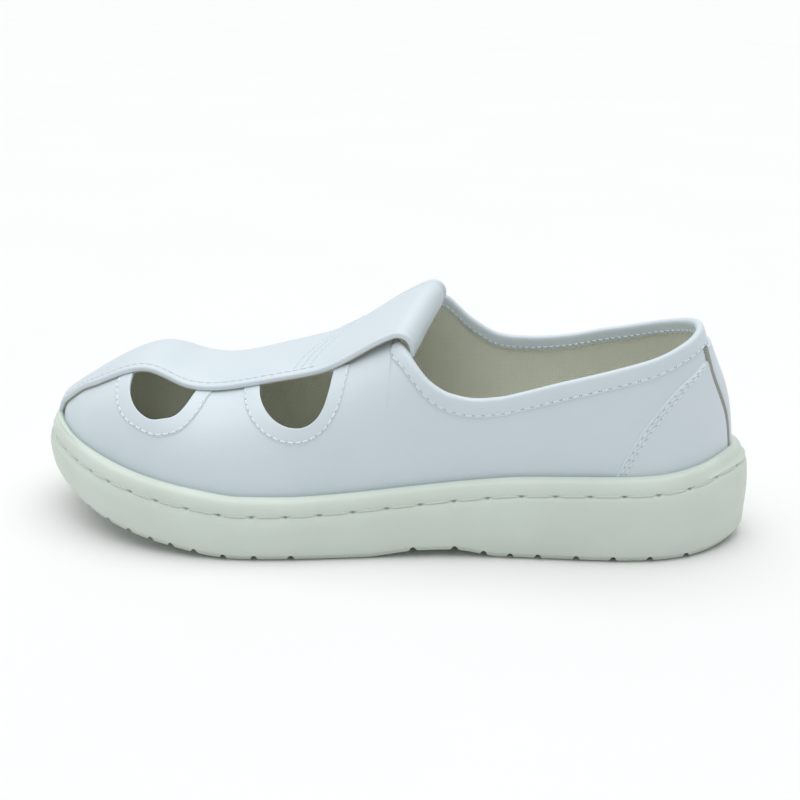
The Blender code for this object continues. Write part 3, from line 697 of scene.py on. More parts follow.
def closed_slab(name, below, above, finish, weave=None, crease=PLAIN_CREASE):
    """Closed piece between two grids of the same size."""
    rows, columns, _ = below.shape
    count = rows * columns
    faces = grid_faces(rows, columns) + grid_faces(rows, columns, count)
    edge = list(range(columns))
    edge += [r * columns + columns - 1 for r in range(1, rows)]
    edge += [(rows - 1) * columns + c for c in range(columns - 2, -1, -1)]
    edge += [r * columns for r in range(rows - 2, 0, -1)]
    faces += [[a, b, b + count, a + count] for a, b in zip(edge, edge[1:] + edge[:1])]
    points = np.concatenate([below.reshape(-1, 3), above.reshape(-1, 3)])
    return make_piece(name, points, faces, finish, weave, crease)


def unit(vectors):
    return vectors / np.maximum(np.linalg.norm(vectors, axis=-1), 1e-9)[..., None]


def darker(colour, share):
    return tuple(share * part for part in colour)


def fine_ribs(tree, spot, direction, scale, wander):
    """Fine ribs that follow one another in a direction, not quite evenly."""
    ribs = tree.nodes.new("ShaderNodeTexWave")
    ribs.bands_direction = direction
    ribs.inputs["Scale"].default_value = scale
    ribs.inputs["Distortion"].default_value = wander
    tree.links.new(spot, ribs.inputs["Vector"])
    return ribs.outputs["Fac"]


def thread_finish(name, colour):
    """Twisted filament thread, with the ply running round each stitch and painted shade between the plies.
    """
    finish, tree, shader, spot = new_finish(name, colour, roughness=0.5)
    ply = fine_ribs(tree, spot, "DIAGONAL", scale=620, wander=0.6)
    # Painted shade in the grooves between the plies
    ply_colour = blend_colours(tree, ply, darker(colour, share=0.86), colour)
    tree.links.new(ply_colour, shader.inputs["Base Color"])
    raise_surface(tree, shader, ply, strength=0.5, depth_mm=0.08)
    return finish


def hole_finish(name, colour):
    """Painted shade for the inside of a needle hole, a little speckled."""
    finish, tree, shader, spot = new_finish(name, colour, roughness=0.9)
    speck = noise(tree, spot, per_metre=900, detail=2)
    hole_colour = blend_colours(tree, speck, colour, darker(colour, share=0.5))
    tree.links.new(hole_colour, shader.inputs["Base Color"])
    return finish


white_thread = thread_finish("white_thread", STITCH_WHITE)
# Dark lenses of painted shade stand in for the needle holes
painted_hole_shade = hole_finish("painted_hole_shade", NEEDLE_HOLE_PAINTED_SHADE)


def thread_tube(centre, across, up, thick, sides):
    """Points of a tube of thread along a line, ring by ring."""
    turn = np.linspace(0, 2 * math.pi, sides, endpoint=False)[None, :, None]
    ring = across[:, None] * np.cos(turn) + up[:, None] * np.sin(turn)
    return (centre[:, None] + ring * thick[:, None, None]).reshape(-1, 3)


def tube_faces(first, rings, sides):
    """Walls and both ends of a tube whose points start at an index."""
    faces = []
    for r in range(rings - 1):
        for s in range(sides):
            a = first + r * sides + s
            b = first + r * sides + (s + 1) % sides
            faces.append([a, b, b + sides, a + sides])
    for end in (0, rings - 1):
        faces.append([first + end * sides + s for s in range(sides)])
    return faces


class Needlework:
    """Stitches along paths on the leather, gathered into one mesh of thread and one of needle holes, drawn
    as dark lenses of painted shade.
    """

    def __init__(self, pitch, gap, thread_radius, hole_radius):
        self.pitch, self.gap, self.radius, self.hole = pitch, gap, thread_radius, hole_radius
        self.thread, self.thread_faces, self.pricks, self.prick_faces = [], [], [], []

    def sew(self, path, out):
        """One row; out holds the directions away from the leather along the path."""
        length = length_along(path)
        count = max(1, int(round((length[-1] - self.gap) / self.pitch)))
        pitch = (length[-1] - self.gap) / count
        share = np.linspace(-1, 1, STITCH_RINGS)
        for k in range(count):
            at = self.gap + pitch * (k + 0.5) - self.gap / 2 + share * (pitch - self.gap) / 2
            centre = point_at(at, length, path)
            up = unit(point_at(at, length, out))
            across = unit(np.cross(np.gradient(centre, axis=0), up))
            centre = centre + up * (self.radius * (STITCH_RISE - STITCH_DIVE * share ** 6))[:, None]
            thick = self.radius * (1 - STITCH_TAPER * share ** 4)
            first = len(self.thread) * STITCH_RINGS * STITCH_SIDES
            self.thread.append(thread_tube(centre, across * STITCH_FLATNESS, up, thick, STITCH_SIDES))
            self.thread_faces += tube_faces(first, STITCH_RINGS, STITCH_SIDES)
            for end in (0, -1):
                spot = centre[end] + up[end] * self.radius * NEEDLE_HOLE_LIFT
                self.prick(spot, up[end], across[end])

    def prick(self, spot, up, across):
        """A needle hole, as a thin dark lens of painted shade on the leather."""
        sides = NEEDLE_HOLE_SIDES
        forward = np.cross(up, across)
        turn = np.linspace(0, 2 * math.pi, sides, endpoint=False)[:, None]
        rim = spot + self.hole * (np.cos(turn) * across + np.sin(turn) * forward) + up * NEEDLE_HOLE_RIM
        crown = spot + up * NEEDLE_HOLE_CROWN
        root = spot - up * NEEDLE_HOLE_ROOT
        first = len(self.pricks) * (sides + 2)
        self.pricks.append(np.concatenate([rim, [crown], [root]]))
        for s in range(sides):
            n = (s + 1) % sides
            self.prick_faces.append([first + s, first + n, first + sides])
            self.prick_faces.append([first + n, first + s, first + sides + 1])

    def finish(self, name, thread, slot):
        rows = make_piece(f"{name}_stitches", np.concatenate(self.thread), self.thread_faces, thread)
        # The needle holes are dark lenses of painted shade
        holes = make_piece(f"{name}_needle_hole_painted_shade", np.concatenate(self.pricks), self.prick_faces,
                           painted_hole_shade)
        dress(rows, slot)
        dress(holes, slot)


facing_seams = Needlework(pitch=2.7, gap=0.5, thread_radius=0.3, hole_radius=0.2)
facing_share = column(FACING_PROFILE, 0)
facing_height = column(FACING_PROFILE, 1)
seam_column = int(np.argmin(np.abs(facing_share - FACING_SEAM)))
on_upper = Last(0)
above_upper = Last(-1)
for hole_name, hole in (("front", FRONT_HOLE), ("rear", REAR_HOLE)):
    hole_edge = smooth_path(hole, HOLE_EDGE_STEPS)
    for side, side_name in SIDE_NAMES.items():
        seat, out = [], []
        for share in facing_share:
            line = wider_path(hole_edge, FACING_WIDTH * share)
            line = smooth_path(line[line[:, 1] > FACING_UNDER_STRAP][::HOLE_EDGE_KEPT], FACING_STEPS)
            seat.append(on_upper.pattern(line, side))
            out.append(above_upper.pattern(line, side) - seat[-1])
        seat = np.array(seat)
        out = unit(np.array(out))
        face = seat + out * facing_height[:, None, None]
        place_name = f"{hole_name}_{side_name}"
        facing = closed_slab(f"facing_band_{place_name}", seat - FACING_SINK * out, face, white_leatherette)
        dress(facing, "leatherette_white", f"facing_{place_name}")
        seam_steps = slice(FACING_SEAM_MARGIN, -FACING_SEAM_MARGIN)
        facing_seams.sew(face[seam_column][seam_steps], out[seam_column][seam_steps])
facing_seams.finish("facing", white_thread, "leatherette_white")

# Heel counter and backstay
# A stiffened panel of leatherette wraps the back of the heel, held at its slanting front edges by two
# rows of stitches. A narrow strip covers the back seam, with thin grey ribbed strips along both of its
# edges: painted shade for the shadowed gap there.
HEEL_CENTRE_X = 59.0
HEEL_REACH = 80.0
COUNTER_THICKNESS = 0.7
COUNTER_ABOVE_LIP = -2.0
COUNTER_ROWS = 30
COUNTER_COLUMNS = 120
COUNTER_ROUNDS = 6
COUNTER_SINK = 0.1
COUNTER_LEAST_RISE = 0.03
COUNTER_EDGE_RADIUS = 0.7
COUNTER_SEAMS = (1.5, 3.6)
COUNTER_SEAM_DIP = 0.16
COUNTER_SEAM_WIDTH = 0.5
COUNTER_SEAM_OFF_GAP_SHADE = 1.0
COUNTER_SEAM_UNDER_LIP = 0.5
BACKSTAY_THICKNESS = 0.8
BACKSTAY_EDGE_RADIUS = 0.8
BACKSTAY_TOP = 70.5
BACKSTAY_UNDER_LIP = 2.0
BACKSTAY_ROWS = 60
BACKSTAY_COLUMNS = 25
# Grey strips of painted shade along both edges of the backstay, for the shadowed gap there: thickness,
# width, reach under the backstay, colour
GAP_SHADE_THICKNESS = 0.35
GAP_SHADE_WIDTH = 1.4
GAP_SHADE_UNDER_BACKSTAY = 0.5
PAINTED_GAP_SHADE = (0.36, 0.37, 0.33)
# Half width of the backstay: height, distance from the centre of the back
BACKSTAY_EDGE = (
    (34, 5.2),
    (45, 5.8),
    (53, 7.2),
    (62, 8.2),
    (70.5, 7.4),
)
# Front edge of the counter: height, angle from the centre of the back
COUNTER_EDGE = (
    (28, 68),
    (38, 60),
    (50, 48),
    (60, 33),
    (66, 16),
)


def around_heel(form, angle_from_back, height):
    """Points of the last at angles round the heel, from the centre of the back, and heights."""
    angle = math.pi - np.asarray(angle_from_back, float)
    direction = np.stack([np.cos(angle), np.sin(angle)], 1)
    start = np.tile((HEEL_CENTRE_X, 0.0), (len(angle), 1))
    return form.meet(start, direction, HEEL_REACH, lambda x, y: np.asarray(height, float))


def rounded_edge(distance, radius):
    """Share of the full thickness at a distance in from a rounded edge."""
    t = np.clip(np.asarray(distance, float) / radius, 0, 1)
    return np.sqrt(1 - (1 - t) ** 2)


counter_edge = level_curve(COUNTER_EDGE, 1)
backstay_edge = level_curve(BACKSTAY_EDGE, 1)
parts = np.sin(np.linspace(math.pi / 2, -math.pi / 2, COUNTER_COLUMNS))
counter_seat, counter_out = [], []
for share in np.sin(np.linspace(0, math.pi / 2, COUNTER_ROWS)):
    height = np.full(COUNTER_COLUMNS, float(COUNTER_EDGE[0][0]))
    for _ in range(COUNTER_ROUNDS):
        angle = parts * np.radians(counter_edge(height))
        low = lip_height(around_heel(on_upper, angle, height)[:, 0]) + COUNTER_ABOVE_LIP
        height = low + share * (COUNTER_EDGE[-1][0] - low)
    counter_seat.append(around_heel(on_upper, angle, height))
    counter_out.append(around_heel(above_upper, angle, height) - counter_seat[-1])
counter_seat = np.array(counter_seat)
counter_out = unit(np.array(counter_out))
half_length = np.linalg.norm(np.diff(counter_seat, axis=1), axis=2).sum(1) / 2
from_front = (1 - np.abs(parts)) * half_length[:, None]
from_top = np.linalg.norm(counter_seat[-1][None] - counter_seat, axis=2)
counter_dip = COUNTER_SEAM_DIP * sum(
    np.exp(-((from_front - seam) / COUNTER_SEAM_WIDTH) ** 2) for seam in COUNTER_SEAMS)
counter_round = rounded_edge(np.minimum(from_front, from_top), COUNTER_EDGE_RADIUS)
counter_rise = np.maximum(COUNTER_THICKNESS * counter_round - counter_dip, COUNTER_LEAST_RISE)
counter_face = counter_seat + counter_out * counter_rise[..., None]
counter = closed_slab("counter_panel", counter_seat - COUNTER_SINK * counter_out, counter_face,
                      white_leatherette)
dress(counter, "leatherette_white", "heel_counter")
counter_seams = Needlework(pitch=2.9, gap=0.6, thread_radius=0.25, hole_radius=0.2)
for seam in COUNTER_SEAMS:
    for front in (1, -1):
        line, out = [], []
        for row in range(COUNTER_ROWS):
            part = front * (1 - seam / half_length[row])
            line.append(point_at(-part, -parts, counter_face[row]))
            out.append(point_at(-part, -parts, counter_out[row]))
        line = np.array(line)
        # The seams stop short of the grey strips of painted shade beside the backstay
        gap_shade_edge = backstay_edge(line[:, 2]) + GAP_SHADE_WIDTH
        beside_gap_shade = np.abs(line[:, 1]) > gap_shade_edge + COUNTER_SEAM_OFF_GAP_SHADE
        clear = beside_gap_shade & (line[:, 2] > lip_height(line[:, 0]) - COUNTER_SEAM_UNDER_LIP)
        counter_seams.sew(line[clear], np.array(out)[clear])
counter_seams.finish("counter", white_thread, "leatherette_white")


def up_the_back(y, heights, form):
    """Points up the back of the last at distances from its centre."""
    start = np.stack([np.full(len(heights), HEEL_CENTRE_X), y], 1)
    direction = np.tile((-1.0, 0.0), (len(heights), 1))
    return form.meet(start, direction, HEEL_CENTRE_X, lambda px, py: heights)


def back_strip(name, edges, base, rise, finish):
    """Strip up the back between two edges, each a function of height, standing on the counter."""
    heights = np.linspace(lip_height(HEEL_INSET) - BACKSTAY_UNDER_LIP, BACKSTAY_TOP, BACKSTAY_ROWS)
    one, other = edges[0](heights), edges[1](heights)
    across = along(np.linspace(0, math.pi, BACKSTAY_COLUMNS), 0, 1)
    lower = np.array([up_the_back(one + (other - one) * share, heights, on_upper) for share in across])
    upper = np.array([up_the_back(one + (other - one) * share, heights, above_upper) for share in across])
    out = unit(upper - lower)
    from_edge = np.minimum(across, 1 - across)[:, None] * np.abs(other - one)
    top = base + rise * rounded_edge(from_edge, BACKSTAY_EDGE_RADIUS)
    return closed_slab(name, lower - COUNTER_SINK * out, lower + out * top[..., None], finish)


def gap_shade_finish(name, colour):
    """Grey strip with fine crosswise ribs and painted shade between them; the whole strip is painted shade
    for the shadowed gap along the backstay's edges.
    """
    finish, tree, shader, spot = new_finish(name, colour, roughness=0.8)
    rib = fine_ribs(tree, spot, "Z", scale=420, wander=0.8)
    rib_colour = blend_colours(tree, rib, darker(colour, share=0.7), colour)
    tree.links.new(rib_colour, shader.inputs["Base Color"])
    raise_surface(tree, shader, rib, strength=0.6, depth_mm=0.12)
    return finish


# Painted shade for the shadowed gap along the backstay's edges
painted_gap_shade = gap_shade_finish("painted_gap_shade", PAINTED_GAP_SHADE)
backstay = back_strip("backstay_strip", (lambda z: -backstay_edge(z), backstay_edge), COUNTER_THICKNESS,
                      BACKSTAY_THICKNESS, white_leatherette)
dress(backstay, "leatherette_white", "backstay")
for side, side_name in SIDE_NAMES.items():
    gap_shade_edges = (lambda z: side * (backstay_edge(z) - GAP_SHADE_UNDER_BACKSTAY),
                  lambda z: side * (backstay_edge(z) + GAP_SHADE_WIDTH))
    gap_shade_strip = back_strip(f"backstay_gap_shade_{side_name}", gap_shade_edges, COUNTER_THICKNESS, GAP_SHADE_THICKNESS,
                      painted_gap_shade)
    dress(gap_shade_strip, "canvas_beige")

# Lining
# Plain-woven beige cotton canvas is cemented inside the whole upper and ends under the binding. It is
# cut a little back from the punched holes, so that its edge does not show from outside.
LINING_OUTSIDE = 1.15
LINING_INSIDE = 1.65
LINING_HOLE_MARGIN = 0.35
LINING_DROP = 0.6
LINING_ROWS = 24
LINING_STATIONS = 150
CANVAS_BEIGE = (0.79, 0.81, 0.715)
# Colour of the painted shade between the threads of the weave
CANVAS_PAINTED_SHADE = (0.655, 0.665, 0.565)
CANVAS_THREAD = 0.85


def weave_relief(tree, thread):
    """Height of a plain weave on the piece's cloth map, from 0 between threads to 1 on a thread."""
    cloth = tree.nodes.new("ShaderNodeUVMap")
    cloth.uv_map = "weave"
    parts_of = tree.nodes.new("ShaderNodeSeparateXYZ")
    tree.links.new(cloth.outputs["UV"], parts_of.inputs[0])

    def math_node(operation, *values):
        node = tree.nodes.new("ShaderNodeMath")
        node.operation = operation
        for socket, value in zip(node.inputs, values):
            if isinstance(value, (int, float)):
                socket.default_value = value
            else:
                tree.links.new(value, socket)
        return node.outputs[0]

    turns_of = [math_node("MULTIPLY", parts_of.outputs[k], math.pi / thread) for k in (0, 1)]
    waves = [math_node("SINE", turn) for turn in turns_of]
    over = math_node("GREATER_THAN", math_node("MULTIPLY", *waves), 0.0)
    warp, weft = [math_node("ABSOLUTE", wave) for wave in waves]
    under = math_node("SUBTRACT", 1.0, over)
    return math_node("ADD", math_node("MULTIPLY", warp, over), math_node("MULTIPLY", weft, under))


def canvas_finish(name, light, shade, thread):
    """Plain-woven cotton, with painted shade between its threads and a little uneven in colour."""
    finish, tree, shader, spot = new_finish(name, light, roughness=0.9)
    relief = weave_relief(tree, thread)
    cloud = cloud_share(tree, spot, per_metre=60, detail=4)
    slub = blend_colours(tree, cloud, light, darker(light, share=0.92))
    # Painted shade between the threads, where the relief of the weave is low
    tree.links.new(blend_colours(tree, relief, shade, slub), shader.inputs["Base Color"])
    raise_surface(tree, shader, relief, strength=0.4, depth_mm=0.2)
    return finish


beige_canvas = canvas_finish("beige_canvas", CANVAS_BEIGE, CANVAS_PAINTED_SHADE, CANVAS_THREAD)
lining = lasted_skin("canvas_lining", LINING_OUTSIDE, LINING_INSIDE, LINING_DROP, beige_canvas,
                     LINING_ROWS, LINING_STATIONS)
cut_holes(lining, LINING_HOLE_MARGIN, LINING_INSIDE + PUNCH_THROUGH)
dress(lining, "canvas_beige")

# Collar binding
# A strip of leatherette is folded over the top line, from one side of the strap round the heel to the
# other. It is sewn through near its lower edge, and inside it ends in a pinked, zigzag edge.
BINDING_STEPS = 420
BINDING_START = math.radians(15.5)
BINDING_END = math.radians(341)
BINDING_SEAM_ROW = 4
BINDING_SEAM_CORE = 0.4
BINDING_INNER_SEAM_ROW = 17
BINDING_INNER_SEAM_CORE = 1.3
BINDING_RIM_DEPTH = 1.0
SOFT_CREASE = 50
PINKING_PITCH = 2.3
PINKING_DEPTH = 0.8
# Round the fold, from the lower edge outside to the pinked edge inside: depth, drop, share of the pinking
BINDING_FOLD = (
    (0.05, 5.6, 0),
    (-0.2, 5.6, 0),
    (-0.38, 5.45, 0),
    (-0.5, 5.15, 0),
    (-0.44, 4.7, 0),
    (-0.6, 4.1, 0),
    (-0.66, 3, 0),
    (-0.68, 1.6, 0),
    (-0.66, 0.4, 0),
    (-0.5, -0.3, 0),
    (-0.1, -0.75, 0),
    (0.6, -0.95, 0),
    (1.3, -0.85, 0),
    (1.9, -0.5, 0),
    (2.2, 0.1, 0),
    (2.3, 1, 0),
    (2.3, 2.2, 0),
    (2.3, 3.1, 0.3),
    (2.25, 3.8, 1),
    (2, 3.95, 1),
    (1.7, 3.95, 1),
    (1.7, 2.5, 0),
    (1.65, 0.5, 0),
    (0.2, 0.5, 0),
    (0.2, 4, 0),
)

binding_angle = np.linspace(BINDING_START, BINDING_END, BINDING_STEPS)
binding_way = np.stack([np.cos(binding_angle), np.sin(binding_angle)], 1)
binding_start = np.tile((HEEL_CENTRE_X, 0.0), (BINDING_STEPS, 1))


def below_top_line(depth, drop):
    """Points at a depth of the last and a drop below the top line, all along the binding."""
    return Last(depth).meet(binding_start, binding_way, HEEL_REACH, lambda x, y: top_line(x, y) - drop)


rim_length = length_along(below_top_line(BINDING_RIM_DEPTH, 0))
tooth = np.abs((rim_length / PINKING_PITCH) % 1 - 0.5) * 2 * PINKING_DEPTH
fold = np.array([below_top_line(depth, drop + pinking * tooth) for depth, drop, pinking in BINDING_FOLD])
turns = len(BINDING_FOLD)
binding_faces = grid_faces(turns + 1, BINDING_STEPS)
binding_faces = [[v % (turns * BINDING_STEPS) for v in face] for face in binding_faces]
binding_faces += [[k * BINDING_STEPS + end for k in range(turns)] for end in (0, BINDING_STEPS - 1)]
binding = make_piece("binding_strip", fold.reshape(-1, 3), binding_faces, white_leatherette,
                     crease=SOFT_CREASE)
dress(binding, "leatherette_white", "collar_binding")
binding_seam = Needlework(pitch=3.3, gap=0.7, thread_radius=0.22, hole_radius=0.26)
seam_drop = BINDING_FOLD[BINDING_SEAM_ROW][1]
binding_out = unit(fold[BINDING_SEAM_ROW] - below_top_line(BINDING_SEAM_CORE, seam_drop))
binding_seam.sew(fold[BINDING_SEAM_ROW], binding_out)
binding_seam.finish("binding", white_thread, "leatherette_white")
inner_drop = BINDING_FOLD[BINDING_INNER_SEAM_ROW][1]
inner_seam = Needlework(pitch=PINKING_PITCH, gap=0.5, thread_radius=0.26, hole_radius=0.22)
inner_out = unit(fold[BINDING_INNER_SEAM_ROW] - below_top_line(BINDING_INNER_SEAM_CORE, inner_drop))
inner_seam.sew(fold[BINDING_INNER_SEAM_ROW], inner_out)
inner_seam.finish("binding_inner", white_thread, "leatherette_white")

# Instep strap
# A padded band of leatherette on a beige backing runs from the toe over the vamp to the throat. It is sewn
# down in front along both edges and across the middle; behind that it is free, and rolls into the mouth.
STRAP_CLEARANCE = 0.2
STRAP_BACKING = 0.6
STRAP_THICKNESS = 2.0
STRAP_EDGE_RADIUS = 0.8
STRAP_CROWN = 0.25
STRAP_CROWN_START = 0.3
STRAP_CROWN_END = 6.0
STRAP_SEAM = 2.6
STRAP_SEAM_FIRST_ROW = 3
STRAP_SEAM_END = 150.0
STRAP_DIP_LATERAL = 0.12
STRAP_DIP_MEDIAL = 0.7
STRAP_DIP_WIDTH_LATERAL = 0.5
STRAP_DIP_WIDTH_MEDIAL = 0.75
CROSS_SEAMS = (146.0, 149.0, 152.0)
CROSS_SEAM_SLANT = 0.45
STRAP_FREE_START = 150.0
STRAP_ROLL_START_LATERAL = 124.0
STRAP_ROLL_START_MEDIAL = 114.3
STRAP_ROLL_HEIGHT_LATERAL = 72.7
STRAP_ROLL_HEIGHT_MEDIAL = 83.0
STRAP_ROLL_SLOPE = 0.38
STRAP_ROLL_ARCH = 0.9
STRAP_ROLL_RADIUS_LATERAL = 3.6
STRAP_ROLL_RADIUS_MEDIAL = 2.3
STRAP_ROLL_END = math.radians(-92)
STRAP_TAIL_LATERAL = 2.4
STRAP_TAIL_MEDIAL = 2.0
STRAP_TIP_STEPS = 6
STRAP_TIP_UNDER_LIP = 1.5
STRAP_TIP_LEAST_DROP = 0.3
STRAP_STEPS = 170
STRAP_SEWN_STEPS = 125
STRAP_ROLL_STEPS = 30
STRAP_TAIL_STEPS = 8
STRAP_NARROW = 20.0
BACKING_INSET = 0.35
BACKING_OVERLAP = 0.1
BACKING_BEIGE = (0.50, 0.49, 0.38)
# Distances in from each edge where the strap's section is taken
STRAP_BORDER = (0, 0.05, 0.2, 0.42, 0.65, 0.9, 1.4, 1.9, 2.25, 2.6, 2.95, 3.3, 3.8, 4.6, 5.6, 7, 8.5)
STRAP_MIDDLE_COLUMNS = 9


def strap_columns(x):
    """y of each lengthwise line of the strap at several x, from the lateral to the medial edge."""
    lateral = strap_edge[LATERAL](x)
    medial = strap_edge[MEDIAL](x)
    narrow = np.minimum(1, (lateral - medial) / STRAP_NARROW)
    border = np.array(STRAP_BORDER)[:, None] * narrow
    inner = np.linspace(lateral - border[-1], medial + border[-1], STRAP_MIDDLE_COLUMNS + 2)[1:-1]
    return np.concatenate([lateral - border, inner, (medial + border)[::-1]])


def eased_rise(t, start, start_slope, end, end_slope):
    """Cubic from a start to an end value, with its slopes there, for t from 0 to 1."""
    first = (1 + 2 * t) * (1 - t) ** 2 * start + t * (1 - t) ** 2 * start_slope
    return first + t * t * (3 - 2 * t) * end + t * t * (t - 1) * end_slope


def strap_seat():
    """Underside of the strap, with its lift from the vamp and the roll of its end."""
    form = Last(-STRAP_CLEARANCE)
    sewn_x = np.linspace(STRAP_PLAN[-1][0], STRAP_FREE_START, STRAP_SEWN_STEPS)
    part_free = np.linspace(0, 1, STRAP_STEPS - STRAP_SEWN_STEPS + 1)[1:]
    angle = math.atan(STRAP_ROLL_SLOPE)
    turned = np.linspace(angle, STRAP_ROLL_END, STRAP_ROLL_STEPS + 1)[1:]
    hang = np.array([-math.cos(STRAP_ROLL_END), 0, math.sin(STRAP_ROLL_END)])
    rows = strap_columns(sewn_x)
    tip_end = lip_height(sewn_x[0]) - STRAP_TIP_UNDER_LIP
    forward = np.tile((1.0, 0.0), (STRAP_TIP_STEPS, 1))
    lines = []
    for column_index, y in enumerate(rows):
        lateral_share = (y[-1] - rows[-1, -1]) / (rows[0, -1] - rows[-1, -1])

        def between(medial, lateral):
            return medial + (lateral - medial) * lateral_share

        roll_start = between(STRAP_ROLL_START_MEDIAL, STRAP_ROLL_START_LATERAL)
        crest = between(STRAP_ROLL_HEIGHT_MEDIAL, STRAP_ROLL_HEIGHT_LATERAL)
        crest += STRAP_ROLL_ARCH * 4 * lateral_share * (1 - lateral_share)
        free_x = STRAP_FREE_START + (roll_start - STRAP_FREE_START) * part_free
        sewn_z = form.height(sewn_x, y)
        tip_low = min(tip_end, sewn_z[0] - STRAP_TIP_LEAST_DROP)
        tip_z = np.linspace(tip_low, sewn_z[0], STRAP_TIP_STEPS + 1)[:-1]
        tip_start = np.tile((STRAP_FREE_START, y[0]), (STRAP_TIP_STEPS, 1))
        tip = form.meet(tip_start, forward, SOLE_LENGTH - STRAP_FREE_START, lambda px, py: tip_z)
        slope = (form.height(STRAP_FREE_START + 1, y[-1]) - sewn_z[-1]) * (roll_start - STRAP_FREE_START)
        end_slope = STRAP_ROLL_SLOPE * (STRAP_FREE_START - roll_start)
        free_z = eased_rise(part_free, sewn_z[-1], slope, crest, end_slope)
        free_y = strap_columns(free_x)[column_index]
        sewn_part = np.stack([sewn_x, y, sewn_z], 1)
        line = np.concatenate([tip, sewn_part, np.stack([free_x, free_y, free_z], 1)])
        radius = between(STRAP_ROLL_RADIUS_MEDIAL, STRAP_ROLL_RADIUS_LATERAL)
        run = radius * (math.sin(angle) - np.sin(turned))
        rise = radius * (np.cos(turned) - math.cos(angle))
        roll = line[-1] + np.stack([-run, np.zeros(len(run)), rise], 1)
        drop = between(STRAP_TAIL_MEDIAL, STRAP_TAIL_LATERAL) * np.linspace(0, 1, STRAP_TAIL_STEPS + 1)[1:]
        lines.append(np.concatenate([line, roll, roll[-1] + drop[:, None] * hang]))
    return np.array(lines)


def grid_out(grid):
    """Directions up and away from a grid."""
    out = unit(np.cross(np.gradient(grid, axis=0), np.gradient(grid, axis=1)))
    return out if out[..., 2].mean() > 0 else -out


def backing_finish(name, colour):
    """Raw-edged foam and cloth under the strap, with a fine felted surface."""
    finish, tree, shader, spot = new_finish(name, colour, roughness=0.9)
    fibre = noise(tree, spot, per_metre=1800, detail=5)
    felt_colour = blend_colours(tree, fibre, darker(colour, share=0.72), colour)
    tree.links.new(felt_colour, shader.inputs["Base Color"])
    raise_surface(tree, shader, fibre, strength=0.5, depth_mm=0.2)
    return finish


strap_under = strap_seat()
strap_out = grid_out(strap_under)
from_lateral = np.linalg.norm(strap_under - strap_under[:1], axis=2)
from_medial = np.linalg.norm(strap_under - strap_under[-1:], axis=2)
from_edge = np.minimum(from_lateral, from_medial)
strap_width = np.linalg.norm(strap_under[0] - strap_under[-1], axis=1)
strap_share = np.minimum(1, strap_width / STRAP_NARROW)
seam_at = STRAP_SEAM * strap_share
lateral_dip = STRAP_DIP_LATERAL * np.exp(-((from_lateral - seam_at) / STRAP_DIP_WIDTH_LATERAL) ** 2)
medial_dip = STRAP_DIP_MEDIAL * np.exp(-((from_medial - seam_at) / STRAP_DIP_WIDTH_MEDIAL) ** 2)
strap_dip = lateral_dip + strap_share ** 2 * medial_dip
crown = STRAP_CROWN * smooth_step(from_edge, seam_at + STRAP_CROWN_START, seam_at + STRAP_CROWN_END)
top_rise = STRAP_BACKING + (STRAP_THICKNESS - STRAP_BACKING) * rounded_edge(from_edge, STRAP_EDGE_RADIUS)
strap_face = strap_under + strap_out * (top_rise + crown - strap_dip)[..., None]
strap_joint = strap_under + strap_out * STRAP_BACKING
strap_top = closed_slab("strap_top", strap_joint, strap_face, white_leatherette, crease=SOFT_CREASE)
dress(strap_top, "leatherette_white", "instep_strap")
to_middle = (strap_under[:1] + strap_under[-1:]) / 2 - strap_under
backing_under = strap_under + to_middle * (BACKING_INSET / (strap_width / 2))[None, :, None]
backing_above = backing_under + strap_out * (STRAP_BACKING + BACKING_OVERLAP)
backing = closed_slab("strap_backing", backing_under, backing_above,
                      backing_finish("strap_backing_felt", BACKING_BEIGE))
dress(backing, "canvas_beige")
strap_seams = Needlework(pitch=2.9, gap=0.6, thread_radius=0.2, hole_radius=0.1)
seam_line = STRAP_BORDER.index(STRAP_SEAM)
strap_x = strap_under[len(strap_under) // 2, :, 0]
sewn = {seam_line: int(np.sum(strap_x > STRAP_SEAM_END)),
        len(strap_face) - 1 - seam_line: STRAP_TIP_STEPS + STRAP_STEPS}
for line, end in sewn.items():
    sewn_rows = slice(STRAP_TIP_STEPS + STRAP_SEAM_FIRST_ROW, end)
    strap_seams.sew(strap_face[line, sewn_rows], strap_out[line, sewn_rows])
for seam_x in CROSS_SEAMS:
    line, out = [], []
    for row in range(seam_line + 1, len(strap_face) - seam_line - 1):
        wanted = seam_x + CROSS_SEAM_SLANT * strap_under[row, STRAP_STEPS // 2, 1]
        across = -strap_under[row, :STRAP_STEPS, 0]
        line.append(point_at(-wanted, across, strap_face[row, :STRAP_STEPS]))
        out.append(point_at(-wanted, across, strap_out[row, :STRAP_STEPS]))
    strap_seams.sew(np.array(line), np.array(out))
strap_seams.finish("strap", white_thread, "leatherette_white")

# Outsole
# One cup of cream polyurethane foam, moulded on to the lasted upper: a grooved tread, a wall that leans
# out to its widest line, a groove with long sewn stitches, and a rounded lip that closes on the leather.
OUTSOLE_STEPS = 640
LIP_TO_GROOVE = 5.4
LIP_SEAT_DROP = 1.2
LIP_CLEARANCE = 0.05
SEAT_REACH = 30.0
CUP_CLEARANCE = 0.1
CUP_SIDE_STEP = 3.0
SOLE_CREASE = 42
TREAD_GROOVE_DEPTH = 2.0
TREAD_GROOVE_FOOT = 1.45
TREAD_GROOVE_TOP = 0.45
TREAD_COLUMNS = 20
RIB_PITCH = 2.4
RIB_DEPTH = 0.3
RIB_SLANT = 0.5
RIB_FOOT = 0.55
RIB_TOP = 0.8
WELT_PITCH = 11.4
WELT_TOE_PITCH = 8.6
WELT_TOE_START = 190.0
WELT_TOE_END = 235.0
WELT_PIT_DEPTH = 1.5
WELT_PIT_RADIUS = 0.65
WELT_PIT_ROWS = 4
WELT_PIT_STRETCH = 0.8
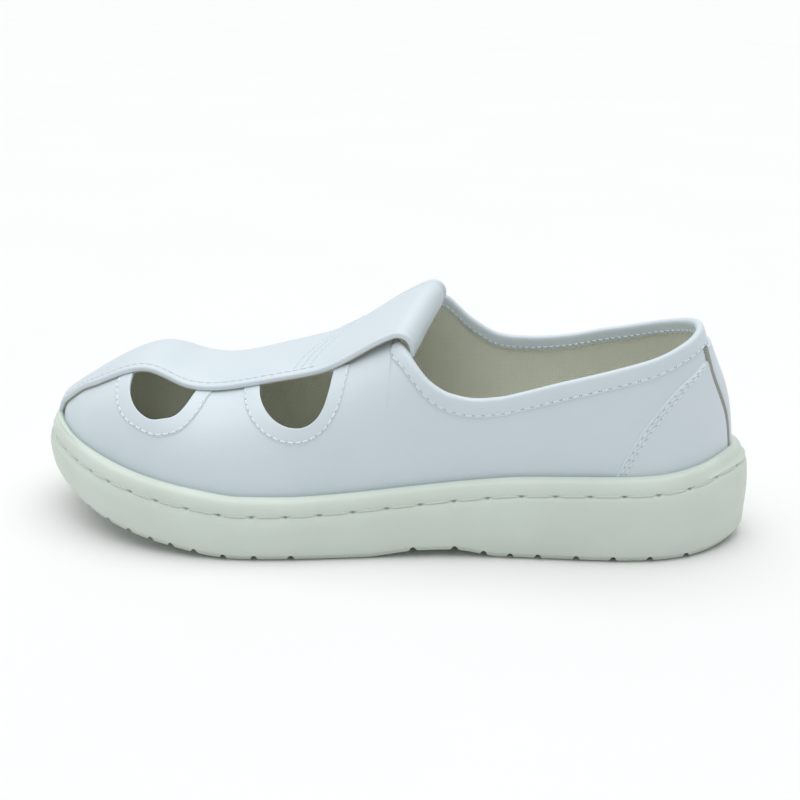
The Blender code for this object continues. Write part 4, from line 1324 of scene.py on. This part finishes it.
GROOVE_INSET = 2
HEEL_LEAN = 1.1
HEEL_LEAN_START = 2.0
HEEL_LEAN_END = 30.0
SOLE_CREAM = (0.64, 0.72, 0.655)
SOLE_SHADE = (0.61, 0.685, 0.615)
# Painted shade on the tread and the foot of the wall near the floor: colour, share, and heights above the
# tread where it is full and where it ends
TREAD_PAINTED_SHADE = (0.50, 0.56, 0.47)
TREAD_PAINTED_SHADE_SHARE = 0.5
TREAD_PAINTED_SHADE_FULL = 1.9
TREAD_PAINTED_SHADE_END = 2.4
# Painted shade in the stitch holes of the groove: colour, reach along the groove that picks each hole's
# points, and radius
PIT_PAINTED_SHADE = (0.16, 0.16, 0.11)
PIT_PAINTED_SHADE_START = 0.3
PIT_PAINTED_SHADE_RADIUS = 0.6
# Tread grooves of the heel, the waist and the forefoot, as a distance from the back of the heel
HEEL_GROOVES = (22, 34.5, 47, 59.5, 72.5, 82, 91)
WAIST_GROOVES = (101, 115.3)
FOREFOOT_GROOVES = (156.5, 169, 179.7, 190, 198.4, 206, 214.5, 223, 231.5)
TREAD_GROOVES = HEEL_GROOVES + WAIST_GROOVES + FOREFOOT_GROOVES
# Underside, with its heel bevel, arch and toe spring: x, height
TREAD_LINE = (
    (0, 3),
    (7, 1.8),
    (15, 0.5),
    (23, 0),
    (85, 0),
    (102, 2.4),
    (113, 2.2),
    (133, 0),
    (175, 0),
    (199, 2.9),
    (214, 5.4),
    (230, 9.2),
    (243, 13.4),
    (256.5, 19),
)
# Wall from the tread up to past the stitch groove: inset, share of the height to the groove, height added
WALL_SIDE = (
    (3.4, 0, 0),
    (2.6, 0, 0.05),
    (2.0, 0, 0.3),
    (1.55, 0, 0.75),
    (1.3, 0, 1.3),
    (1.2, 0, 1.9),
    (1.2, 0, 2.15),
    (0.55, 0, 2.3),
    (0.42, 0, 2.6),
    (0.2, 0.35, 0),
    (0.05, 0.48, 0),
    (0, 0.6, 0),
    (0.15, 0.72, 0),
    (0.5, 0.85, 0),
    (0.8, 1, -2),
    (1.05, 1, -1.3),
    (1.35, 1, -0.8),
    (1.7, 1, -0.4),
    (GROOVE_INSET, 1, -0.05),
    (1.8, 1, 0.12),
    (1.52, 1, 0.3),
    (1.46, 1, 0.7),
)
# Outside of the lip: inset, drop below its top
LIP_SIDE = (
    (1.56, 3.5),
    (1.9, 2.6),
    (2.35, 1.6),
    (2.9, 0.9),
    (3.5, 0.42),
)
# Rounded top of the lip: distance out from the leather, drop
LIP_TOP = (
    (2.2, 0.02),
    (1.5, 0),
    (0.9, 0.12),
    (0.45, 0.42),
)

tread_height = level_curve(TREAD_LINE, 1)


def tread_groove(x):
    """Height that the grooves cut away at a place along the foot."""
    near = np.abs(np.asarray(x, float)[..., None] - np.array(TREAD_GROOVES, float)).min(-1)
    slope = np.clip((TREAD_GROOVE_FOOT - near) / (TREAD_GROOVE_FOOT - TREAD_GROOVE_TOP), 0, 1)
    return TREAD_GROOVE_DEPTH * slope


groove_corners = [g + d for g in TREAD_GROOVES
                  for d in (-TREAD_GROOVE_FOOT, -TREAD_GROOVE_TOP, TREAD_GROOVE_TOP, TREAD_GROOVE_FOOT)]
sole_turn = np.sort(np.concatenate([
    np.linspace(0, math.pi, OUTSOLE_STEPS + 1), turn_of(groove_corners, 0, SOLE_LENGTH)]))
sole_ring, ring_out = sole_outline(sole_turn)
ring_count = len(sole_ring)
half_count = len(sole_turn)


def ring_at(inset, height):
    """Ring at an inset from the widest line; the height is a function of x."""
    spot = sole_ring - ring_out * np.asarray(inset)[..., None]
    return np.column_stack([spot, height(spot[:, 0])])


def groove_height(x):
    return lip_height(x) - LIP_TO_GROOVE


def wall_height(share, added):
    return lambda x: tread_height(x) * (1 - share) + groove_height(x) * share + added


def below_lip(drop):
    return lambda x: lip_height(x) - drop


leather_line = Last(-LIP_CLEARANCE)
lip_inside = leather_line.meet(sole_ring - ring_out * SEAT_REACH, ring_out, SEAT_REACH,
                               lambda x, y: lip_height(x) - LIP_SEAT_DROP)
lip_inset = np.linalg.norm(sole_ring - lip_inside[:, :2], axis=1)
wall = [ring_at(inset, wall_height(share, added)) for inset, share, added in WALL_SIDE]
for ring in wall:
    ring[:, 2] = np.maximum(ring[:, 2], tread_height(ring[:, 0]) + tread_groove(ring[:, 0]))
heel_lean = HEEL_LEAN * (1 - smooth_step(sole_ring[:, 0], HEEL_LEAN_START, HEEL_LEAN_END))
rings = wall + [ring_at(inset + heel_lean, below_lip(drop)) for inset, drop in LIP_SIDE]
rings += [ring_at(lip_inset - out, below_lip(drop)) for out, drop in LIP_TOP]
rings.append(lip_inside)
cup_inset = last_inset(sole_ring[:, 0]) - CUP_CLEARANCE
rings += [ring_at(cup_inset, below_lip(drop)) for drop in (CUP_DEPTH - CUP_SIDE_STEP, CUP_DEPTH)]
rings = np.array(rings)
groove_row = [row[:2] for row in WALL_SIDE].index((GROOVE_INSET, 1))
groove_line = rings[groove_row]
closed_line = np.concatenate([groove_line, groove_line[:1]])
ring_length = length_along(closed_line)
toe_share = smooth_step(groove_line[:, 0], WELT_TOE_START, WELT_TOE_END)
welt_pitch = WELT_PITCH + (WELT_TOE_PITCH - WELT_PITCH) * toe_share
stitch_number = np.concatenate([[0], np.cumsum(np.diff(ring_length) / welt_pitch)])
welt_count = int(round(stitch_number[-1]))
stitch_number *= welt_count / stitch_number[-1]
welt_holes = np.interp(np.arange(welt_count + 1), stitch_number, ring_length)
from_pit = np.abs((stitch_number[:-1] + 0.5) % 1 - 0.5) * welt_pitch
outward = np.column_stack([ring_out, np.zeros(ring_count)])
for row in range(groove_row - WELT_PIT_ROWS, groove_row + WELT_PIT_ROWS):
    from_groove = np.linalg.norm(rings[row] - groove_line, axis=1)
    off = np.hypot(from_pit, from_groove * WELT_PIT_STRETCH)
    pit_share = np.exp(-(off / WELT_PIT_RADIUS) ** 2)
    rings[row] -= outward * (WELT_PIT_DEPTH * pit_share)[:, None]


def tread_surface():
    """Underside between the two edges, with fine ribs on the lugs."""
    lateral = rings[0, :half_count]
    medial = np.concatenate([rings[0, half_count - 1:], rings[0, :1]])[::-1]
    share = np.linspace(0, 1, TREAD_COLUMNS + 1)[1:-1, None, None]
    rows = lateral + (medial - lateral) * share
    lug = 1 - tread_groove(rows[..., 0]) / TREAD_GROOVE_DEPTH
    rib = np.abs((rows[..., 1] + RIB_SLANT * rows[..., 0]) / RIB_PITCH % 1 - 0.5) * 2
    relief = RIB_DEPTH * lug * smooth_step(rib, RIB_FOOT, RIB_TOP)
    rows[:, 1:-1, 2] += relief[:, 1:-1]
    return rows


tread = tread_surface()
ring_total = rings.shape[0] * ring_count
sole_points = np.concatenate([rings.reshape(-1, 3), tread.reshape(-1, 3)])
ring_start = np.arange(rings.shape[0] - 1)[:, None] * ring_count
step = np.arange(ring_count)
after = (step + 1) % ring_count
sole_faces = np.stack([ring_start + step, ring_start + after, ring_start + ring_count + after,
                       ring_start + ring_count + step], 2).reshape(-1, 4).tolist()
lateral_edge = np.arange(half_count)
medial_edge = (ring_count - np.arange(half_count)) % ring_count
tread_rows = [ring_total + r * half_count + np.arange(half_count) for r in range(len(tread))]
tread_rows = [lateral_edge, *tread_rows, medial_edge]
for one, other in zip(tread_rows[:-1], tread_rows[1:]):
    sole_faces += np.stack([one[:-1], one[1:], other[1:], other[:-1]], 1).tolist()
bed = (rings.shape[0] - 1) * ring_count
bed_faces = np.stack([bed + lateral_edge[:-1], bed + lateral_edge[1:], bed + medial_edge[1:],
                      bed + medial_edge[:-1]], 1).tolist()
sole_faces += [list(dict.fromkeys(face)) for face in bed_faces]


def sole_finish(name):
    """Moulded foam skin: a soft, slightly mottled cream, with painted shade in the stitch holes and on the
    tread and the foot of the wall.
    """
    finish, tree, shader, spot = new_finish(name, SOLE_CREAM, roughness=0.5)
    cloud = cloud_share(tree, spot, per_metre=45, detail=5)
    body = blend_colours(tree, cloud, SOLE_CREAM, SOLE_SHADE)
    parts_of = {}
    for mark in ("pit", "tread"):
        read = tree.nodes.new("ShaderNodeAttribute")
        read.attribute_name = mark
        parts_of[mark] = read.outputs["Fac"]
    # Painted shade on the tread and in the stitch holes, from the point attributes
    body = blend_colours(tree, parts_of["tread"], body, TREAD_PAINTED_SHADE)
    tree.links.new(blend_colours(tree, parts_of["pit"], body, PIT_PAINTED_SHADE), shader.inputs["Base Color"])
    uneven_gloss(tree, shader, spot, per_metre=220, glossy=0.42, dull=0.58)
    pores = noise(tree, spot, per_metre=1300, detail=4)
    raise_surface(tree, shader, pores, strength=0.12, depth_mm=0.15)
    waves = noise(tree, spot, per_metre=90, detail=3)
    raise_surface(tree, shader, waves, strength=0.14, depth_mm=0.6)
    return finish


cream_foam = sole_finish("cream_foam")
outsole = make_piece("cup_sole", sole_points, sole_faces, cream_foam, crease=SOLE_CREASE)
back_to_mm = np.array([v.co for v in outsole.data.vertices], float) * 1000 + CENTRE
# Painted shade, kept as point attributes: on the tread and the lowest part of the wall, and round each
# stitch hole of the groove
above_tread = back_to_mm[:, 2] - tread_height(back_to_mm[:, 0])
tread_painted_shade = TREAD_PAINTED_SHADE_SHARE * (1 - smooth_step(above_tread, TREAD_PAINTED_SHADE_FULL, TREAD_PAINTED_SHADE_END))
pit_painted_shade = np.zeros(len(back_to_mm))
for spot in rings[groove_row][from_pit < PIT_PAINTED_SHADE_START]:
    off = np.linalg.norm(back_to_mm - spot, axis=1)
    pit_painted_shade = np.maximum(pit_painted_shade, np.exp(-(off / PIT_PAINTED_SHADE_RADIUS) ** 4))
for mark, darkness in (("tread", tread_painted_shade), ("pit", pit_painted_shade)):
    shades = outsole.data.attributes.new(mark, "FLOAT", "POINT")
    shades.data.foreach_set("value", darkness.astype(np.float32))
dress(outsole, "sole_cream", "outsole")

# Welt stitches
# Long stitches of thick cream thread lie in the groove round the sole and dive into it at each hole.
# They only decorate: the sole is moulded on, so the thread holds nothing.
WELT_RADIUS = 0.42
WELT_RINGS = 15
WELT_SIDES = 9
WELT_HOLE_GAP = 0.25
WELT_RISE = 0.3
WELT_DIVE = 1.3
WELT_TAPER = 0.3
WELT_CREAM = (0.66, 0.73, 0.665)

welt_points, welt_faces = [], []
closed_out = np.concatenate([outward, outward[:1]])
share = np.linspace(-1, 1, WELT_RINGS)
for k in range(welt_count):
    start, end = welt_holes[k:k + 2]
    at = (start + end) / 2 + share * ((end - start) / 2 - WELT_HOLE_GAP)
    centre = point_at(at, ring_length, closed_line)
    out = unit(point_at(at, ring_length, closed_out))
    up = unit(np.cross(np.gradient(centre, axis=0), out))
    centre = centre + out * (WELT_RISE - WELT_DIVE * share ** 8)[:, None]
    thick = WELT_RADIUS * (1 - WELT_TAPER * share ** 6)
    welt_points.append(thread_tube(centre, out, up, thick, WELT_SIDES))
    welt_faces += tube_faces(k * WELT_RINGS * WELT_SIDES, WELT_RINGS, WELT_SIDES)
welt = make_piece("welt_stitches", np.concatenate(welt_points), welt_faces,
                  thread_finish("cream_thread", WELT_CREAM))
dress(welt, "sole_cream")

# Insole
# A loose sock of foam faced with beige canvas lies on the foot bed of the cup, dished at the heel and
# cut to the inside of the lining.
INSOLE_DEPTH = 2.4
INSOLE_THICKNESS = 3.0
INSOLE_STEPS = 150
INSOLE_COLUMNS = 40
INSOLE_EDGE_RADIUS = 2.0
INSOLE_EDGE_SHARE = 0.55
INSOLE_TIP_TURN = 0.04
INSOLE_CLEARANCE = 0.02
HEEL_DISH_DEPTH = 0.9
HEEL_DISH_X = 45.0
HEEL_DISH_LENGTH = 22.0
HEEL_DISH_WIDTH = 14.0

insole_ring = OUTLINE - OUTLINE_NORMALS * (last_inset(OUTLINE[:, 0]) + INSOLE_DEPTH)[:, None]
near_side = insole_ring[:OUTLINE_STEPS + 1].T
far_side = np.concatenate([insole_ring[OUTLINE_STEPS:], insole_ring[:1]])[::-1].T
insole_heel = HEEL_INSET + INSOLE_DEPTH
insole_toe = SOLE_LENGTH - TOE_INSET - INSOLE_DEPTH
insole_turn = np.linspace(INSOLE_TIP_TURN, math.pi - INSOLE_TIP_TURN, INSOLE_STEPS)
insole_x = along(insole_turn, insole_heel, insole_toe)
insole_share = along(np.linspace(0, math.pi, INSOLE_COLUMNS), 0, 1)
insole_lateral = np.interp(insole_x, *near_side)
insole_medial = np.interp(insole_x, *far_side)
insole_y = insole_lateral + (insole_medial - insole_lateral) * insole_share[:, None]
insole_plan = np.broadcast_to(insole_x, insole_y.shape)
from_side = np.minimum(np.abs(insole_y - insole_lateral), np.abs(insole_y - insole_medial))
from_tip = np.minimum(insole_x - insole_heel, insole_toe - insole_x)
insole_round = rounded_edge(np.minimum(from_side, from_tip), INSOLE_EDGE_RADIUS)
insole_rise = INSOLE_THICKNESS * (INSOLE_EDGE_SHARE + (1 - INSOLE_EDGE_SHARE) * insole_round)
along_dish = (insole_plan - HEEL_DISH_X) / HEEL_DISH_LENGTH
heel_dish = HEEL_DISH_DEPTH * np.exp(-along_dish ** 2 - (insole_y / HEEL_DISH_WIDTH) ** 2)
bed_height = foot_bed(insole_plan) + INSOLE_CLEARANCE
insole_below = np.stack([insole_plan, insole_y, bed_height], 2)
insole_above = np.stack([insole_plan, insole_y, bed_height + insole_rise - heel_dish], 2)
insole_weave = np.tile(np.stack([insole_plan, insole_y], 2).reshape(-1, 2), (2, 1))
insole = closed_slab("canvas_insole", insole_below, insole_above, beige_canvas, insole_weave)
dress(insole, "canvas_beige", "insole")

# Studio
# A pale seamless floor under soft light from above and all round, seen from the wearer's left at the
# photograph's angle.
FLOOR_WHITE = (0.83, 0.83, 0.83)
FLOOR_SHADE = (0.82, 0.82, 0.82)
FLOOR_REACH = 60
SKY_WHITE = (0.97, 0.985, 1)
SKY_STRENGTH = 0.436
CAMERA_SPOT = (72.6, 421.0, 198.3)
CAMERA_YAW = math.radians(7)
CAMERA_PITCH = math.radians(20)
CAMERA_LENS = 56.25
CAMERA_SENSOR = 36.0
CAMERA_NEAREST = 0.01

floor_finish, floor_tree, floor_shader, floor_spot = new_finish("studio_floor", FLOOR_WHITE, roughness=0.85)
floor_cloud = spread(floor_tree, noise(floor_tree, floor_spot, per_metre=6, detail=2),
                     low=0.3, high=0.7, new_low=0, new_high=1)
floor_tree.links.new(blend_colours(floor_tree, floor_cloud, FLOOR_WHITE, FLOOR_SHADE),
                     floor_shader.inputs["Base Color"])
floor_mesh = bpy.data.meshes.new("studio_floor")
floor_corners = [(x * FLOOR_REACH, y * FLOOR_REACH, 0) for x, y in ((-1, -1), (1, -1), (1, 1), (-1, 1))]
floor_mesh.from_pydata(floor_corners, [], [(0, 1, 2, 3)])
floor_mesh.materials.append(floor_finish)
studio_floor = bpy.data.objects.new("studio_floor", floor_mesh)
bpy.context.scene.collection.objects.link(studio_floor)
studio_floor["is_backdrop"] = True

# Soft suns: name, direction that the light comes from, width of the sky it fills, strength
SOFT_SUNS = (
    ("overhead_sun", (0, 0, 1), 75, 2.14),
    ("toe_side_sun", (0.85, 0, 0.53), 75, 0.28),
    ("far_side_sun", (0, -0.85, 0.53), 75, 0.27),
)
for name, source, width, strength in SOFT_SUNS:
    light = bpy.data.lights.new(name, "SUN")
    light.angle = math.radians(width)
    light.energy = strength
    sun = bpy.data.objects.new(name, light)
    sun.rotation_euler = (-Vector(source)).to_track_quat("-Z", "Y").to_euler()
    bpy.context.scene.collection.objects.link(sun)
studio = bpy.data.worlds.new("studio")
studio.use_nodes = True
sky = studio.node_tree.nodes["Background"]
sky.inputs["Color"].default_value = (*SKY_WHITE, 1)
sky.inputs["Strength"].default_value = SKY_STRENGTH
bpy.context.scene.world = studio
bpy.context.scene.view_settings.view_transform = "Standard"

camera = bpy.data.objects.new("camera", bpy.data.cameras.new("camera"))
camera.data.sensor_width = CAMERA_SENSOR
camera.data.lens = CAMERA_LENS
camera.data.clip_start = CAMERA_NEAREST
camera.location = place(CAMERA_SPOT)
level_sight = math.cos(CAMERA_PITCH)
sight = Vector((math.sin(CAMERA_YAW) * level_sight, -math.cos(CAMERA_YAW) * level_sight,
                -math.sin(CAMERA_PITCH)))
camera.rotation_euler = sight.to_track_quat("-Z", "Y").to_euler()
bpy.context.scene.collection.objects.link(camera)
bpy.context.scene.camera = camera

low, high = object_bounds()
